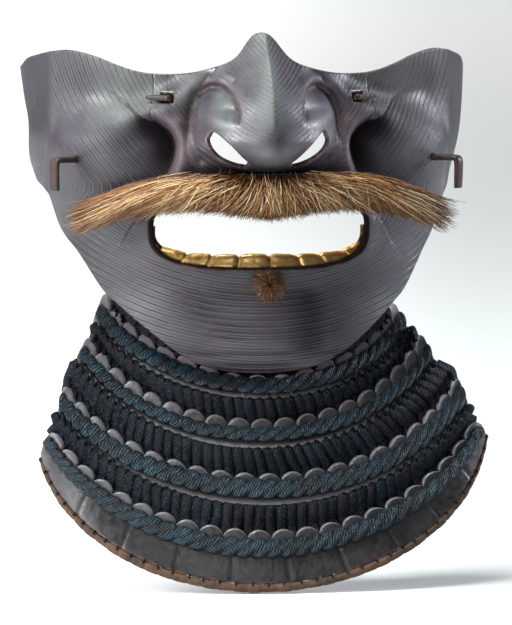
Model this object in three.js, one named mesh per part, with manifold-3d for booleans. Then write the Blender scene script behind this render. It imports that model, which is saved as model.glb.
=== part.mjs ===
// A samurai's half-mask face guard (menpo) with its laced throat guard, in millimetres.
// +Z is up and -Y is the front. The origin is the middle of the hollow for the face, at the height of
// the mouth. The plates are about 2 mm thick and follow one relief, worked out below as
// "how far forward is the front face at (x, z)".
import * as THREE from "three";
import { mergeVertices } from "three/addons/utils/BufferGeometryUtils.js";
import Module from "manifold-3d";

const wasm = await Module();
wasm.setup();

// ---------------------------------------------------------------- driving dimensions
const GAP = 0.35; // left between pieces that touch
const PLATE = 2.0; // wall of the mask's plates
const LAME = 1.8; // wall of the throat guard's lames
const CORD = 1.6; // thickness of the vertical lacing
const BACK = 40; // y where the widest section would turn straight back
const WIDE = 93.2; // half-width of the section at the cheek wings
const NARROW = 82.5; // half-width of the section at the mouth and jaw
const WING = 92; // half-width at the top of the wings
const JAW_END = 80.3; // half-width where the jaw edge meets the wing
const NOSE_ASIDE = 1.2; // the hand-made nose sits this far off the middle, to +X

// Front view outlines. Each row is a point, for the right half; the left mirrors it.
const topEdge = [
  { x: 0, z: 80.8 },
  { x: 2.8, z: 79.9 },
  { x: 5.4, z: 77.2 },
  { x: 7.4, z: 74.2 },
  { x: 9.6, z: 71.3 },
  { x: 13, z: 68.8 },
  { x: 18, z: 66.9 },
  { x: 26, z: 64.7 },
  { x: 35, z: 63.5 },
  { x: 45, z: 63.4 },
  { x: 51, z: 64.5 },
  { x: 58, z: 66.9 },
  { x: 66, z: 70.1 },
  { x: 75, z: 72.1 },
  { x: 81, z: 71.4 },
  { x: 86, z: 69.8 },
  { x: 90, z: 67.6 },
  { x: WING, z: 64 },
];
const jawEdge = [
  { x: 0, z: -57.7 },
  { x: 15.5, z: -56.2 },
  { x: 25, z: -53.5 },
  { x: 32.4, z: -49.7 },
  { x: 41, z: -43.2 },
  { x: 50, z: -36 },
  { x: 57, z: -29.7 },
  { x: 62.3, z: -24.5 },
  { x: 70.8, z: -10.4 },
  { x: 76.5, z: -1.4 },
  { x: JAW_END, z: 11.4 },
];
// Side view, on the middle line: y of the plate without the nose, then how far the nose stands off it
// and the half-width of its foot.
const chinToBrow = [
  { z: -58, y: -38.5 },
  { z: -52, y: -45.5 },
  { z: -46, y: -50 },
  { z: -38, y: -49 },
  { z: -24, y: -45.5 },
  { z: -14, y: -46.3 },
  { z: 0, y: -45.5 },
  { z: 12, y: -46.5 },
  { z: 25, y: -47 },
  { z: 40, y: -45 },
  { z: 60, y: -41 },
  { z: 82, y: -37 },
];
const noseRidge = [
  { z: 23.4, off: 0, half: 24 },
  { z: 25, off: 7, half: 24.7 },
  { z: 27, off: 17, half: 25.5 },
  { z: 29.5, off: 24.5, half: 26.3 },
  { z: 32.5, off: 29, half: 27.4 },
  { z: 36, off: 31, half: 28.5 },
  { z: 41, off: 31.6, half: 29.4 },
  { z: 47, off: 32.5, half: 29.4 },
  { z: 53, off: 32, half: 27.9 },
  { z: 59, off: 29.5, half: 24.5 },
  { z: 65, off: 24.5, half: 19.5 },
  { z: 71, off: 17.5, half: 15 },
  { z: 77, off: 10, half: 11.5 },
  { z: 82, off: 4.5, half: 9.5 },
];

// ---------------------------------------------------------------- small maths
const clamp = (t) => Math.min(1, Math.max(0, t));
const mix = (a, b, t) => a + (b - a) * t;
const fade = (low, high, t) => {
  const s = clamp((t - low) / (high - low));
  return s * s * (3 - 2 * s);
};
const bell = (d, w) => Math.exp(-((d / w) ** 2));

// A smooth curve through a table: cubic steps whose slopes are those of the neighbours' chord.
function through(table, from, to) {
  const slope = (i) => {
    const a = table[Math.max(0, i - 1)];
    const b = table[Math.min(table.length - 1, i + 1)];
    return (b[to] - a[to]) / (b[from] - a[from]);
  };
  return (at) => {
    const t = Math.min(Math.max(at, table[0][from]), table.at(-1)[from]);
    let i = 0;
    while (i < table.length - 2 && t > table[i + 1][from]) i++;
    const step = table[i + 1][from] - table[i][from];
    const s = (t - table[i][from]) / step;
    const rise = table[i + 1][to] - table[i][to];
    const a = slope(i) * step;
    const b = slope(i + 1) * step;
    return table[i][to] + s * (a + s * (3 * rise - 2 * a - b + s * (a + b - 2 * rise)));
  };
}

const topOf = through(topEdge, "x", "z");
const jawOf = through(jawEdge, "x", "z");
const frontOf = through(chinToBrow, "z", "y");
const noseOffOf = through(noseRidge, "z", "off");
const noseHalfOf = through(noseRidge, "z", "half");

// Distance of (x, z) from a fold's line, a smooth curve through the given points, with which side of
// the line the point is on and how far along it.
function fold(points) {
  const curve = new THREE.SplineCurve(points.map((p) => new THREE.Vector2(p.x, p.z)));
  const line = curve.getPoints(5 * (points.length - 1));
  return (x, z) => {
    let best = { away: Infinity, side: 1, along: 0 };
    line.slice(1).forEach((b, i) => {
      const a = line[i];
      const dx = b.x - a.x;
      const dz = b.y - a.y;
      const t = clamp(((x - a.x) * dx + (z - a.y) * dz) / (dx * dx + dz * dz));
      const away = Math.hypot(x - a.x - t * dx, z - a.y - t * dz);
      const side = Math.sign(dx * (z - a.y) - dz * (x - a.x)) || 1;
      if (away < best.away) best = { away, side, along: (i + t) / (line.length - 1) };
    });
    return best;
  };
}

// ---------------------------------------------------------------- the relief of the face
// The crest runs from beside the nose bridge over and down along the top of the cheek.
const crest = fold([
  { x: 12.5, z: 60.5 },
  { x: 16.5, z: 63.2 },
  { x: 22, z: 62.9 },
  { x: 28, z: 59 },
  { x: 35, z: 53.2 },
  { x: 46, z: 45.5 },
  { x: 58, z: 40.5 },
  { x: 70, z: 37 },
  { x: 80, z: 36 },
]);
// The crease separates the side of the nose from the fold that frames it.
const crease = fold([
  { x: 26.5, z: 56 },
  { x: 29.2, z: 49 },
  { x: 29.4, z: 42 },
  { x: 27.6, z: 35 },
  { x: 25.4, z: 30 },
]);
// The groove runs down the outside of that fold, beside the cheek hollow.
const groove = fold([
  { x: 44, z: 43.5 },
  { x: 40.2, z: 40.5 },
  { x: 38.2, z: 37 },
  { x: 38, z: 33 },
  { x: 39.4, z: 26 },
  { x: 43, z: 16 },
  { x: 48, z: 7 },
]);
const snarl = fold([
  { x: 33.5, z: 43 },
  { x: 32.3, z: 36 },
  { x: 32.8, z: 28 },
  { x: 36, z: 18 },
]);
const browBand = fold([
  { x: 36, z: 60.5 },
  { x: 52, z: 55 },
  { x: 70, z: 55 },
]);
const mouth = { z: 1.4, half: 43, up: 10.6, down: 16.1, power: 3.3 };

// 1 on the mouth's outline, under 1 inside it.
function mouthLevel(x, z) {
  const tall = z > mouth.z ? mouth.up : mouth.down;
  return (
    (Math.abs(x / mouth.half) ** mouth.power + Math.abs((z - mouth.z) / tall) ** mouth.power) **
    (1 / mouth.power)
  );
}

// The nostril wing, let in below the flank of the nose along its upper and inner edge.
const lobe = { x: 19.3, z: 47.6, wide: 9.2, tall: 13.2, power: 2.3, deep: 4.2 };

// How far the nose stands off the plate, for x at the right: a flat flank rises to the keel, and the
// keel rounds into a ball between the nostrils.
function noseRelief(x, z) {
  const blunt = 1 - fade(28, 46, z);
  const u =
    Math.sqrt((x / noseHalfOf(z)) ** 2 + mix(0.0003, 0.02, blunt)) - mix(0.0173, 0.1414, blunt);
  const flank = Math.max(0, 1 - u) * (1 + 0.35 * (1 - fade(52, 66, z)) * u);
  const ball = 0.62 * bell(x, 9.5) + 0.38 * flank;
  const profile = mix(flank, ball, 0.9 * (1 - fade(26, 38, z)));
  const p = (x - lobe.x) / lobe.wide;
  const q = (z - lobe.z) / lobe.tall;
  const level = (Math.abs(p) ** lobe.power + Math.abs(q) ** lobe.power) ** (1 / lobe.power);
  const inner = fade(-0.75, 0.75, 0.75 * q - 0.66 * p) * fade(43, 51, z);
  return noseOffOf(z) * profile - lobe.deep * inner * (1 - fade(0.84, 1.04, level));
}

// How far the other folds stand off the plain section, for x at the right.
function foldRelief(x, z) {
  const c = crest(x, z);
  const crestHeight = 4.4 * fade(-0.02, 0.16, c.along) * mix(1, 0.35, fade(0.6, 1, c.along));
  const above = mix(3.4, 6.5, fade(0.05, 0.4, c.along));
  const below = mix(3, 9, fade(0.2, 0.8, c.along));
  const roll = crestHeight * bell(c.away, c.side > 0 ? above : below);

  const k = crease(x, z);
  const g = groove(x, z);
  const s = snarl(x, z);
  const hollow = 5.4 * bell(g.away, g.side > 0 ? 13 : 3.2) * (1 - 0.75 * fade(0.45, 1, g.along));
  const cheek = 4.8 * bell(Math.hypot((x - 66) / 1.15, z - 22), 17);
  const band = 2.6 * bell(browBand(x, z).away, 8);
  const lip = 1.5 * bell(mouthLevel(x, z) - 1, 0.13);
  const folds = 3.0 * bell(s.away, 4.6) - 1.6 * bell(k.away, 2.0);
  return (roll + folds - hollow + cheek - band) * (1 - fade(74, 86, x)) + lip;
}

// Half-width of the plain section at height z.
const sectionOf = (z) => mix(NARROW, WIDE, fade(-5, 40, z));

// The point of the mask's front face seen at (x, z), with or without the nose.
function facePoint(x, z, nose = false) {
  const w = sectionOf(z);
  const deep = BACK - frontOf(z);
  const r = Math.min(Math.abs(x) / w, 0.995);
  const c = Math.sqrt(1 - r * r);
  const out = new THREE.Vector2((r / w) * Math.sign(x), -c / deep).normalize();
  const aside = NOSE_ASIDE * fade(16, 26, z) * (1 - fade(50, 70, Math.abs(x)));
  const a = Math.abs(x - aside);
  const h = foldRelief(a, z) + (nose ? noseRelief(a, z) : 0);
  return new THREE.Vector3(x + out.x * h, BACK - deep * c + out.y * h, z);
}

// ---------------------------------------------------------------- solids from surfaces
const solidOf = (geometry) => {
  const bare = new THREE.BufferGeometry();
  bare.setAttribute("position", geometry.getAttribute("position").clone());
  if (geometry.index) bare.setIndex(geometry.index.clone());
  const merged = mergeVertices(bare, 1e-3);
  return new wasm.Manifold(
    new wasm.Mesh({
      numProp: 3,
      vertProperties: merged.attributes.position.array,
      triVerts: new Uint32Array(merged.index.array),
    }),
  );
};

const geometryOf = (solid) => {
  const mesh = solid.getMesh();
  const geometry = new THREE.BufferGeometry();
  geometry.setAttribute("position", new THREE.BufferAttribute(mesh.vertProperties, 3));
  geometry.setIndex(new THREE.BufferAttribute(mesh.triVerts, 1));
  return geometry;
};

// A closed wall between two surfaces, each a function of (u, v) from 0 to 1. Seen from outside, u runs
// to the right and v upwards on the outer one.
function wall(outer, inner, columns, rows) {
  const across = columns + 1;
  const layer = across * (rows + 1);
  const places = [];
  for (const surface of [outer, inner])
    for (let j = 0; j <= rows; j++)
      for (let i = 0; i <= columns; i++) places.push(...surface(i / columns, j / rows).toArray());
  const faces = [];
  const quad = (a, b, c, d) => faces.push(a, b, c, a, c, d);
  const gap = (a, b) => Math.hypot(...[0, 1, 2].map((k) => places[3 * a + k] - places[3 * b + k]));
  // Over a fold, the shorter diagonal follows it better.
  const bent = (a, b, c, d) => (gap(a, c) <= gap(b, d) ? quad(a, b, c, d) : quad(b, c, d, a));
  for (let j = 0; j < rows; j++)
    for (let i = 0; i < columns; i++) {
      const p = j * across + i;
      bent(p, p + 1, p + 1 + across, p + across);
      bent(p + layer, p + layer + across, p + layer + across + 1, p + layer + 1);
    }
  for (let i = 0; i < columns; i++) {
    const low = i;
    const high = rows * across + i;
    quad(low + layer, low + layer + 1, low + 1, low);
    quad(high, high + 1, high + 1 + layer, high + layer);
  }
  for (let j = 0; j < rows; j++) {
    const left = j * across;
    const right = left + columns;
    quad(left, left + across, left + across + layer, left + layer);
    quad(right + layer, right + layer + across, right + across, right);
  }
  const geometry = new THREE.BufferGeometry();
  geometry.setAttribute("position", new THREE.Float32BufferAttribute(places, 3));
  geometry.setIndex(faces);
  return geometry;
}

// A closed bar: a ring of n points carried along it in equal columns, point(u, j) being point j of the
// ring at u. Seen from beyond the u = 0 end the ring runs counterclockwise.
function bar(columns, n, point) {
  const places = [];
  const faces = [];
  for (let i = 0; i <= columns; i++)
    for (let j = 0; j < n; j++) places.push(...point(i / columns, j).toArray());
  for (let i = 0; i < columns; i++)
    for (let j = 0; j < n; j++) {
      const a = i * n + j;
      const b = i * n + ((j + 1) % n);
      faces.push(a, b + n, b, a, a + n, b + n);
    }
  const end = columns * n;
  for (let j = 1; j < n - 1; j++) faces.push(0, j, j + 1, end, end + j + 1, end + j);
  const geometry = new THREE.BufferGeometry();
  geometry.setAttribute("position", new THREE.Float32BufferAttribute(places, 3));
  geometry.setIndex(faces);
  return geometry;
}

// The surface that lies t behind another one, measured along its normal.
function behind(surface, t, reach = 0.02) {
  return (u, v) => {
    const [u0, u1] = [Math.max(0, u - reach), Math.min(1, u + reach)];
    const [v0, v1] = [Math.max(0, v - reach), Math.min(1, v + reach)];
    const du = surface(u1, v).sub(surface(u0, v));
    const dv = surface(u, v1).sub(surface(u, v0));
    return surface(u, v).addScaledVector(du.cross(dv).normalize(), -t);
  };
}

// A straight prism through the plates, along Y, of a front view outline of (x, z) points.
function prism(outline, from = -90, to = 20) {
  const shape = new THREE.Shape(outline.map((p) => new THREE.Vector2(p.x, p.z)));
  const made = new THREE.ExtrudeGeometry(shape, { depth: to - from, bevelEnabled: false, steps: 1 });
  made.rotateX(Math.PI / 2).translate(0, to, 0);
  return solidOf(made);
}
const mirrored = (outline) => outline.map((p) => ({ x: -p.x, z: p.z })).reverse();

// ---------------------------------------------------------------- the two plates
const SEAM_X = 44.4; // the nose plate's upright edge
const SEAM_LOW = 45;
const NOSE_FOOT = 23.6; // the nose plate's lower edge, on the upper lip
const slot = { x: 38.6, z: 54.2, wide: 6.6, tall: 4.4 }; // for the hook that holds the nose plate

const noseHalf = [
  { x: SEAM_X, z: 90 },
  { x: SEAM_X, z: SEAM_LOW },
  { x: 41, z: 40.8 },
  { x: 38.7, z: 37.2 },
  { x: 38.4, z: 33 },
  { x: 39.4, z: 28 },
  { x: 38.6, z: 25.2 },
  { x: 35, z: NOSE_FOOT },
];
// The nose plate's outline, moved out by grow.
function noseOutline(grow) {
  const half = noseHalf.map((p) => ({ x: p.x + grow, z: p.z <= 25.2 ? p.z - grow : p.z }));
  return aside([...half, ...mirrored(half)].reverse());
}
const aside = (outline) => outline.map((p) => ({ x: p.x + NOSE_ASIDE, z: p.z }));
const rectangle = (x, z, wide, tall) => [
  { x: x - wide / 2, z: z - tall / 2 },
  { x: x + wide / 2, z: z - tall / 2 },
  { x: x + wide / 2, z: z + tall / 2 },
  { x: x - wide / 2, z: z + tall / 2 },
];
const nostril = new THREE.CatmullRomCurve3(
  [
    [6.8, 28],
    [11.2, 28.4],
    [16.8, 31],
    [20.3, 35],
    [21.7, 40],
    [20, 41.8],
    [16.8, 39.8],
    [13.2, 36],
    [9.8, 31.6],
  ].map(([x, z]) => new THREE.Vector3(x, 0, z)),
  true,
)
  .getPoints(18)
  .slice(0, -1);

function mouthOutline(points) {
  return Array.from({ length: points }, (_, i) => {
    const a = (2 * Math.PI * i) / points;
    const level = mouthLevel(Math.cos(a) * mouth.half, mouth.z + Math.sin(a) * mouth.down);
    return {
      x: (Math.cos(a) * mouth.half) / level,
      z: mouth.z + (Math.sin(a) * mouth.down) / level,
    };
  });
}

// Columns of the plates crowd towards the middle, where the relief is finest.
const crowd = (u, share) => {
  const t = 2 * u - 1;
  return share * t + (1 - share) * t ** 3;
};

function facePlateSurface(u, v) {
  const turn = (Math.PI / 2) * crowd(u, 0.62);
  const low = JAW_END * Math.sin(turn);
  const high = WING * Math.sin(turn);
  const bulge = 2.2 * Math.sin(Math.PI * v) * Math.sin(turn) ** 5;
  const x = mix(low, high, v) + bulge;
  return facePoint(x, mix(jawOf(Math.abs(low)), topOf(Math.abs(high)), v));
}
const NOSE_GRID = 47;
function nosePlateSurface(u, v) {
  const x = NOSE_GRID * crowd(u, 0.75) + NOSE_ASIDE;
  const rise = 0.6 * v + 0.4 * v * v;
  return facePoint(x, mix(NOSE_FOOT - 1.2, topOf(Math.abs(x)), rise), true);
}

// The shank hole of a cord hook, square to the wall there.
const hook = { x: 69.5, z: 28.5, shank: 2.4, strip: 2, wide: 4.6, arm: 13.5, drop: 12, turn: 53 };
function hookPlace(side) {
  const at = facePoint(hook.x * side, hook.z);
  const place = new THREE.Group();
  place.position.copy(at);
  place.rotation.z = side * THREE.MathUtils.degToRad(hook.turn);
  place.updateMatrixWorld(true);
  return place;
}
function shankHole(side) {
  const size = hook.shank + 2 * GAP;
  const cut = new THREE.BoxGeometry(size, 16, size);
  cut.applyMatrix4(hookPlace(side).matrixWorld);
  return solidOf(cut);
}

function plates() {
  const wholeFace = solidOf(
    wall(facePlateSurface, behind(facePlateSurface, PLATE), 36, 20),
  );
  const wholeNose = solidOf(
    wall(nosePlateSurface, behind(nosePlateSurface, PLATE, 0.04), 28, 17),
  );
  let face = wholeFace.subtract(prism(noseOutline(GAP))).subtract(prism(mouthOutline(44)));
  let nose = wholeNose.intersect(prism(noseOutline(0)));
  const nostrilRight = nostril.map((p) => ({ x: p.x, z: p.z }));
  const slotRight = rectangle(slot.x, slot.z, slot.wide, slot.tall);
  for (const cut of [nostrilRight, slotRight])
    nose = nose.subtract(prism(aside(cut))).subtract(prism(aside(mirrored(cut))));
  for (const side of [-1, 1]) face = face.subtract(shankHole(side));
  return { face: geometryOf(face), nose: geometryOf(nose) };
}

// ---------------------------------------------------------------- the throat guard
// Each edge is part of an ellipse in a tilted plane: its half-width, how much a quarter turn rises and
// runs back, the y and z of its middle, how far that stands to +X, how much it tilts per mm towards +X,
// and the angle to its ends in degrees. The lames hang unevenly on their lacing.
const edges = {
  lame_1: {
    top: { half: 62.5, rise: 37, back: 40, y: -38, z: -58.3, aside: -1, tilt: -0.04, span: 76 },
    low: { half: 68.5, rise: 41.5, back: 41, y: -45, z: -68, aside: -1.5, tilt: -0.03, span: 71 },
    heads: 17,
  },
  lame_2: {
    top: { half: 74.1, rise: 54, back: 41.6, y: -46.5, z: -75.4, aside: -0.2, tilt: 0, span: 67.6 },
    low: { half: 82, rise: 60, back: 44, y: -55, z: -87.4, aside: -1, tilt: -0.01, span: 64 },
    heads: 19,
  },
  lame_3: {
    top: { half: 89.5, rise: 64.5, back: 45.8, y: -57.5, z: -96.4, aside: 1.2, tilt: 0.01, span: 64.3 },
    low: { half: 97, rise: 72, back: 48, y: -65, z: -109.1, aside: 1.2, tilt: 0.01, span: 60 },
    heads: 21,
  },
  lame_4: {
    top: { half: 97.4, rise: 76.1, back: 49.8, y: -68.2, z: -118.2, aside: 1, tilt: 0.01, span: 61.5 },
    low: { half: 92.5, rise: 62.5, back: 52, y: -77.5, z: -139, aside: 2, tilt: 0.04, span: 80 },
    heads: 22,
  },
};
const HEAD = 2.3; // how far the scale heads stand above the notches between them

// A point of a tier: t runs from -1 to 1 across and q from 0 at its top edge to 1 at its low edge.
function tierPoint(tier, t, q, off = 0) {
  const at = (key) => mix(tier.top[key], tier.low[key], q);
  const turn = THREE.MathUtils.degToRad(at("span") * t);
  const lean = 1 - Math.cos(turn);
  const out = new THREE.Vector2(Math.sin(turn) / at("half"), -Math.cos(turn) / at("back"));
  out.normalize().multiplyScalar(off);
  const across = at("half") * Math.sin(turn);
  return new THREE.Vector3(
    at("aside") + across + out.x,
    at("y") + at("back") * lean + out.y,
    at("z") + at("rise") * lean + at("tilt") * across,
  );
}

// A row of scales fused into one plate, with a rounded head at the top of each scale.
function lame(tier) {
  const tall = tier.top.z - tier.low.z;
  const at = (off) => (u, v) => {
    const head = Math.min(1, Math.sin(Math.PI * ((u * tier.heads) % 1)) * 1.3);
    return tierPoint(tier, 2 * u - 1, mix(1, (HEAD * (1 - head)) / tall, v), off);
  };
  return wall(at(0), at(-LAME), tier.heads * 3, 1);
}

// The flat rope of lacing that crosses a lame's front, between two heights of the lame.
function braid(tier, from, to) {
  const section = [
    { q: 0, off: 0 },
    { q: 1, off: 0 },
    { q: 1, off: 1.2 },
    { q: 0.72, off: 2.6 },
    { q: 0.28, off: 2.6 },
    { q: 0, off: 1.2 },
  ];
  return bar(26, section.length, (u, j) => {
    const s = section[j];
    return tierPoint(tier, (2 * u - 1) * 0.985, mix(from, to, s.q), 0.5 + s.off);
  });
}

// The vertical lacing: from behind the plate above, past the next lame's top edge, to behind its heads.
function lacing(above, tier) {
  const rows = [
    above,
    (t, off) => behindTier(tier, -0.04)(t, off),
    (t, off) => behindTier(tier, 0.34)(t, off),
  ];
  const at = (off) => (u, v) => rows[Math.round(2 - 2 * v)]((2 * u - 1) * 0.95, off);
  return wall(at(0), at(-CORD), 24, 2);
}
const behindTier = (tier, q) => (t, off) => tierPoint(tier, t, q, off - LAME - 1.2);

// Straight above the inner side of the mask's jaw edge, where the first row of lacing is tied.
function behindJaw(t, off) {
  const x = 61.5 * Math.sin(t * 1.32);
  const z = jawOf(Math.abs(x));
  const p = facePoint(x, z);
  const w = sectionOf(z);
  const deep = BACK - frontOf(z);
  const out = new THREE.Vector2(x / (w * w), -Math.sqrt(1 - (x / w) ** 2) / deep).normalize();
  const clear = PLATE + 0.9 - off;
  return new THREE.Vector3(p.x - out.x * clear, p.y - out.y * clear, z + 3);
}

// The leather binding round the lowest edge: a rounded bar just under it.
function hem(tier) {
  const section = [
    { q: 0, off: 0.9 },
    { q: 0, off: -2.7 },
    { q: 1.4, off: -3.2 },
    { q: 3.2, off: -1.9 },
    { q: 3.2, off: 0.1 },
    { q: 1.4, off: 1.4 },
  ];
  const high = 1 / (tier.top.z - tier.low.z);
  return bar(36, section.length, (u, j) => {
    const s = section[j];
    return tierPoint(tier, 2 * u - 1, 1 + (s.q + GAP) * high, s.off);
  });
}

// ---------------------------------------------------------------- teeth, hair and hooks
// The gilded lower teeth: a scalloped strip behind the lower lip, up to the corners of the mouth.
function teeth() {
  const count = 9;
  const strip = (depth) => (u, v) => {
    const a = Math.PI * mix(1.03, 1.97, u);
    const round = Math.abs(Math.sin(Math.PI * ((u * count) % 1))) ** 0.5;
    const level = mouthLevel(Math.cos(a) * mouth.half, mouth.z + Math.sin(a) * mouth.down);
    const tall = mix(1.6, 6, fade(0.2, 0.9, -Math.sin(a)));
    const inset = mix(-3, tall * mix(0.82, 1, round), v);
    const keep = 1 / level;
    const x = Math.cos(a) * (mouth.half * keep - inset);
    const z = mouth.z + Math.sin(a) * (mouth.down * keep - inset);
    const lip = facePoint(Math.cos(a) * mouth.half * keep, mouth.z + Math.sin(a) * mouth.down * keep);
    const wallBack = Math.max(lip.y, facePoint(x, z).y) + PLATE + 1.6;
    return new THREE.Vector3(x, wallBack + depth - 0.5 * round * Math.sin(Math.PI * v), z);
  };
  return wall(strip(0), strip(1.6), count * 3, 2);
}

// The moustache: a bundle of bristles planted on the upper lip that sweeps out to both sides.
const bristles = [
  { x: 0, y: -54.5, z: 14.2, tall: 9, thick: 5 },
  { x: 24, y: -52.5, z: 15.6, tall: 8.2, thick: 4.6 },
  { x: 45, y: -45.5, z: 14.8, tall: 7.4, thick: 4.2 },
  { x: 62, y: -38, z: 10.4, tall: 7, thick: 3.6 },
  { x: 73, y: -31.5, z: 6.2, tall: 5, thick: 2.6 },
  { x: 80.5, y: -27, z: 3.4, tall: 1.6, thick: 1 },
];
const SWEEP_ASIDE = 1.4; // the moustache reaches a little further to +X
function moustache() {
  const [y, z, tall, thick] = ["y", "z", "tall", "thick"].map((key) => through(bristles, "x", key));
  const end = bristles.at(-1).x;
  const sides = 6;
  const locks = 15;
  return bar(2 * locks, sides, (u, j) => {
    const x = end * Math.sin((Math.PI / 2) * (2 * u - 1));
    const a = Math.abs(x);
    const turn = (2 * Math.PI * j) / sides;
    const lock = Math.round(u * 2 * locks) % 2 ? 1 : 0.86;
    const reach = Math.sin(turn) < 0 ? lock : 1;
    return new THREE.Vector3(
      x + SWEEP_ASIDE,
      y(a) - thick(a) * Math.cos(turn),
      z(a) + tall(a) * reach * Math.sin(turn),
    );
  });
}

// The round tuft of hair under the lip.
const tuft = { x: 2.6, z: -20.6, wide: 7.4, tall: 6.4, stand: 6 };
function chinTuft() {
  const made = new THREE.SphereGeometry(1, 12, 8);
  const at = facePoint(tuft.x, tuft.z);
  made.scale(tuft.wide, tuft.stand / 2, tuft.tall);
  made.translate(at.x, at.y - tuft.stand / 2 - 2 * GAP, at.z);
  return made;
}

// An L-shaped cord hook: a square shank through the wall, then a flat strip that stands off it and is
// bent down. The strip starts clear of the wall, so that its flat top is free for the cord.
function cordHook() {
  const inside = PLATE + 3;
  const shoulder = 1.6;
  const half = hook.strip / 2;
  const shank = new THREE.BoxGeometry(hook.shank - 0.8, inside + shoulder + 2, hook.shank - 0.8);
  shank.translate(0, (inside - shoulder - 2) / 2, 0);
  const outline = new THREE.Shape([
    new THREE.Vector2(shoulder, -half),
    new THREE.Vector2(hook.arm - hook.strip, -half),
    new THREE.Vector2(hook.arm - hook.strip - 0.4, -hook.drop),
    new THREE.Vector2(hook.arm - 1, -hook.drop - 0.6),
    new THREE.Vector2(hook.arm, -half),
    new THREE.Vector2(hook.arm - 0.8, half),
    new THREE.Vector2(shoulder, half),
  ]);
  const strip = new THREE.ExtrudeGeometry(outline, { depth: hook.wide, bevelEnabled: false, steps: 1 });
  // The outline lies in the plane of the outward direction and +Z.
  strip.translate(0, 0, -hook.wide / 2);
  strip.rotateX(Math.PI / 2).rotateZ(-Math.PI / 2);
  return geometryOf(solidOf(shank).add(solidOf(strip)));
}

// A hook that holds the nose plate: a strip behind both plates, taller than the slot, a neck through
// the slot and a beak.
function noseHook(side) {
  const beak = 2.6;
  const strip = 6.4;
  const levels = [slot.z - strip / 2, slot.z, slot.z + strip / 2];
  const at = (x) => levels.map((z) => facePoint(x * side + NOSE_ASIDE, z, true).y);
  const front = (x) => Math.min(...at(x)) - 0.6;
  const back = (x) => Math.max(...at(x)) + PLATE * 1.3 + 1.1;
  const near = slot.x - 1.2;
  const neck = slot.x + 1.2;
  const tip = slot.x + 8;
  const root = slot.x + 14;
  const end = slot.x - 4.4;
  const middle = mix(neck, root, 0.5);
  const extrude = (plan, tall) => {
    const shape = new THREE.Shape(plan.map(([x, y]) => new THREE.Vector2(x * side + NOSE_ASIDE, y)));
    const made = new THREE.ExtrudeGeometry(shape, { depth: tall, bevelEnabled: false, steps: 1 });
    return solidOf(made.translate(0, 0, slot.z - tall / 2));
  };
  const before = extrude(
    [
      [near, front(near) - 0.9],
      [mix(neck, tip, 0.5), front(mix(neck, tip, 0.5)) - 1.1],
      [tip, front(tip) - 0.7],
      [tip, front(tip)],
      [mix(neck, tip, 0.5), front(mix(neck, tip, 0.5))],
      [neck, front(neck)],
      [neck, back(neck) + 0.5],
      [near, back(near) + 0.5],
    ],
    beak,
  );
  const behindPlates = extrude(
    [
      [end, back(end)],
      [neck, back(neck)],
      [middle, back(middle)],
      [root, back(root)],
      [root, back(root) + 1.3],
      [middle, back(middle) + 1.5],
      [end, back(end) + 1.5],
    ],
    strip,
  );
  return geometryOf(before.add(behindPlates));
}

// ---------------------------------------------------------------- materials and assembly
const paint = (color, roughness, metalness = 0) =>
  new THREE.MeshStandardMaterial({ color, roughness, metalness });
const lacquer = paint(0x4a4247, 0.38);
const iron = paint(0x40353a, 0.5, 0.4);
const gilding = paint(0xc9a24a, 0.25, 1);
const bristle = paint(0xa67c45, 0.7);
const scale = paint(0x5c5658, 0.4);
const silk = paint(0x1f3a48, 0.8);
const darkSilk = paint(0x14202c, 0.85);
const leather = paint(0x6e4a2c, 0.6);

const guard = new THREE.Group();
function add(name, geometry, material, parent = guard) {
  const mesh = new THREE.Mesh(geometry, material);
  mesh.name = name;
  parent.add(mesh);
  return mesh;
}

const { face, nose } = plates();
add("face_plate", face, lacquer);
add("nose_plate", nose, lacquer);
add("teeth", teeth(), gilding);
add("moustache", moustache(), bristle);
add("chin_tuft", chinTuft(), bristle);
for (const [side, word] of [
  [-1, "left"],
  [1, "right"],
]) {
  const place = hookPlace(side);
  guard.add(place);
  add("cord_hook_" + word, cordHook(), iron, place);
  add("nose_hook_" + word, noseHook(side), iron);
}

const tiers = Object.values(edges);
const ropeAt = [
  { from: 0.14, to: 0.74 },
  { from: 0.33, to: 0.75 },
  { from: 0.23, to: 0.79 },
  { from: 0.18, to: 0.52 },
];
tiers.forEach((tier, i) => {
  add("lame_" + (i + 1), lame(tier), scale);
  add("braid_" + (i + 1), braid(tier, ropeAt[i].from, ropeAt[i].to), silk);
  const upper = i ? behindTier(tiers[i - 1], 0.96) : behindJaw;
  add("lacing_" + (i + 1), lacing(upper, tier), darkSilk);
});
add("hem_binding", hem(tiers.at(-1)), leather);

export default guard;
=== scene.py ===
"""The finish of a samurai's half-mask and its laced throat guard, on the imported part.

+Z is up and -Y is the front. Shapes are worked out in millimetres from the part's own sizes, and are
turned to metres where a mesh is made.
"""
import math

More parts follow.
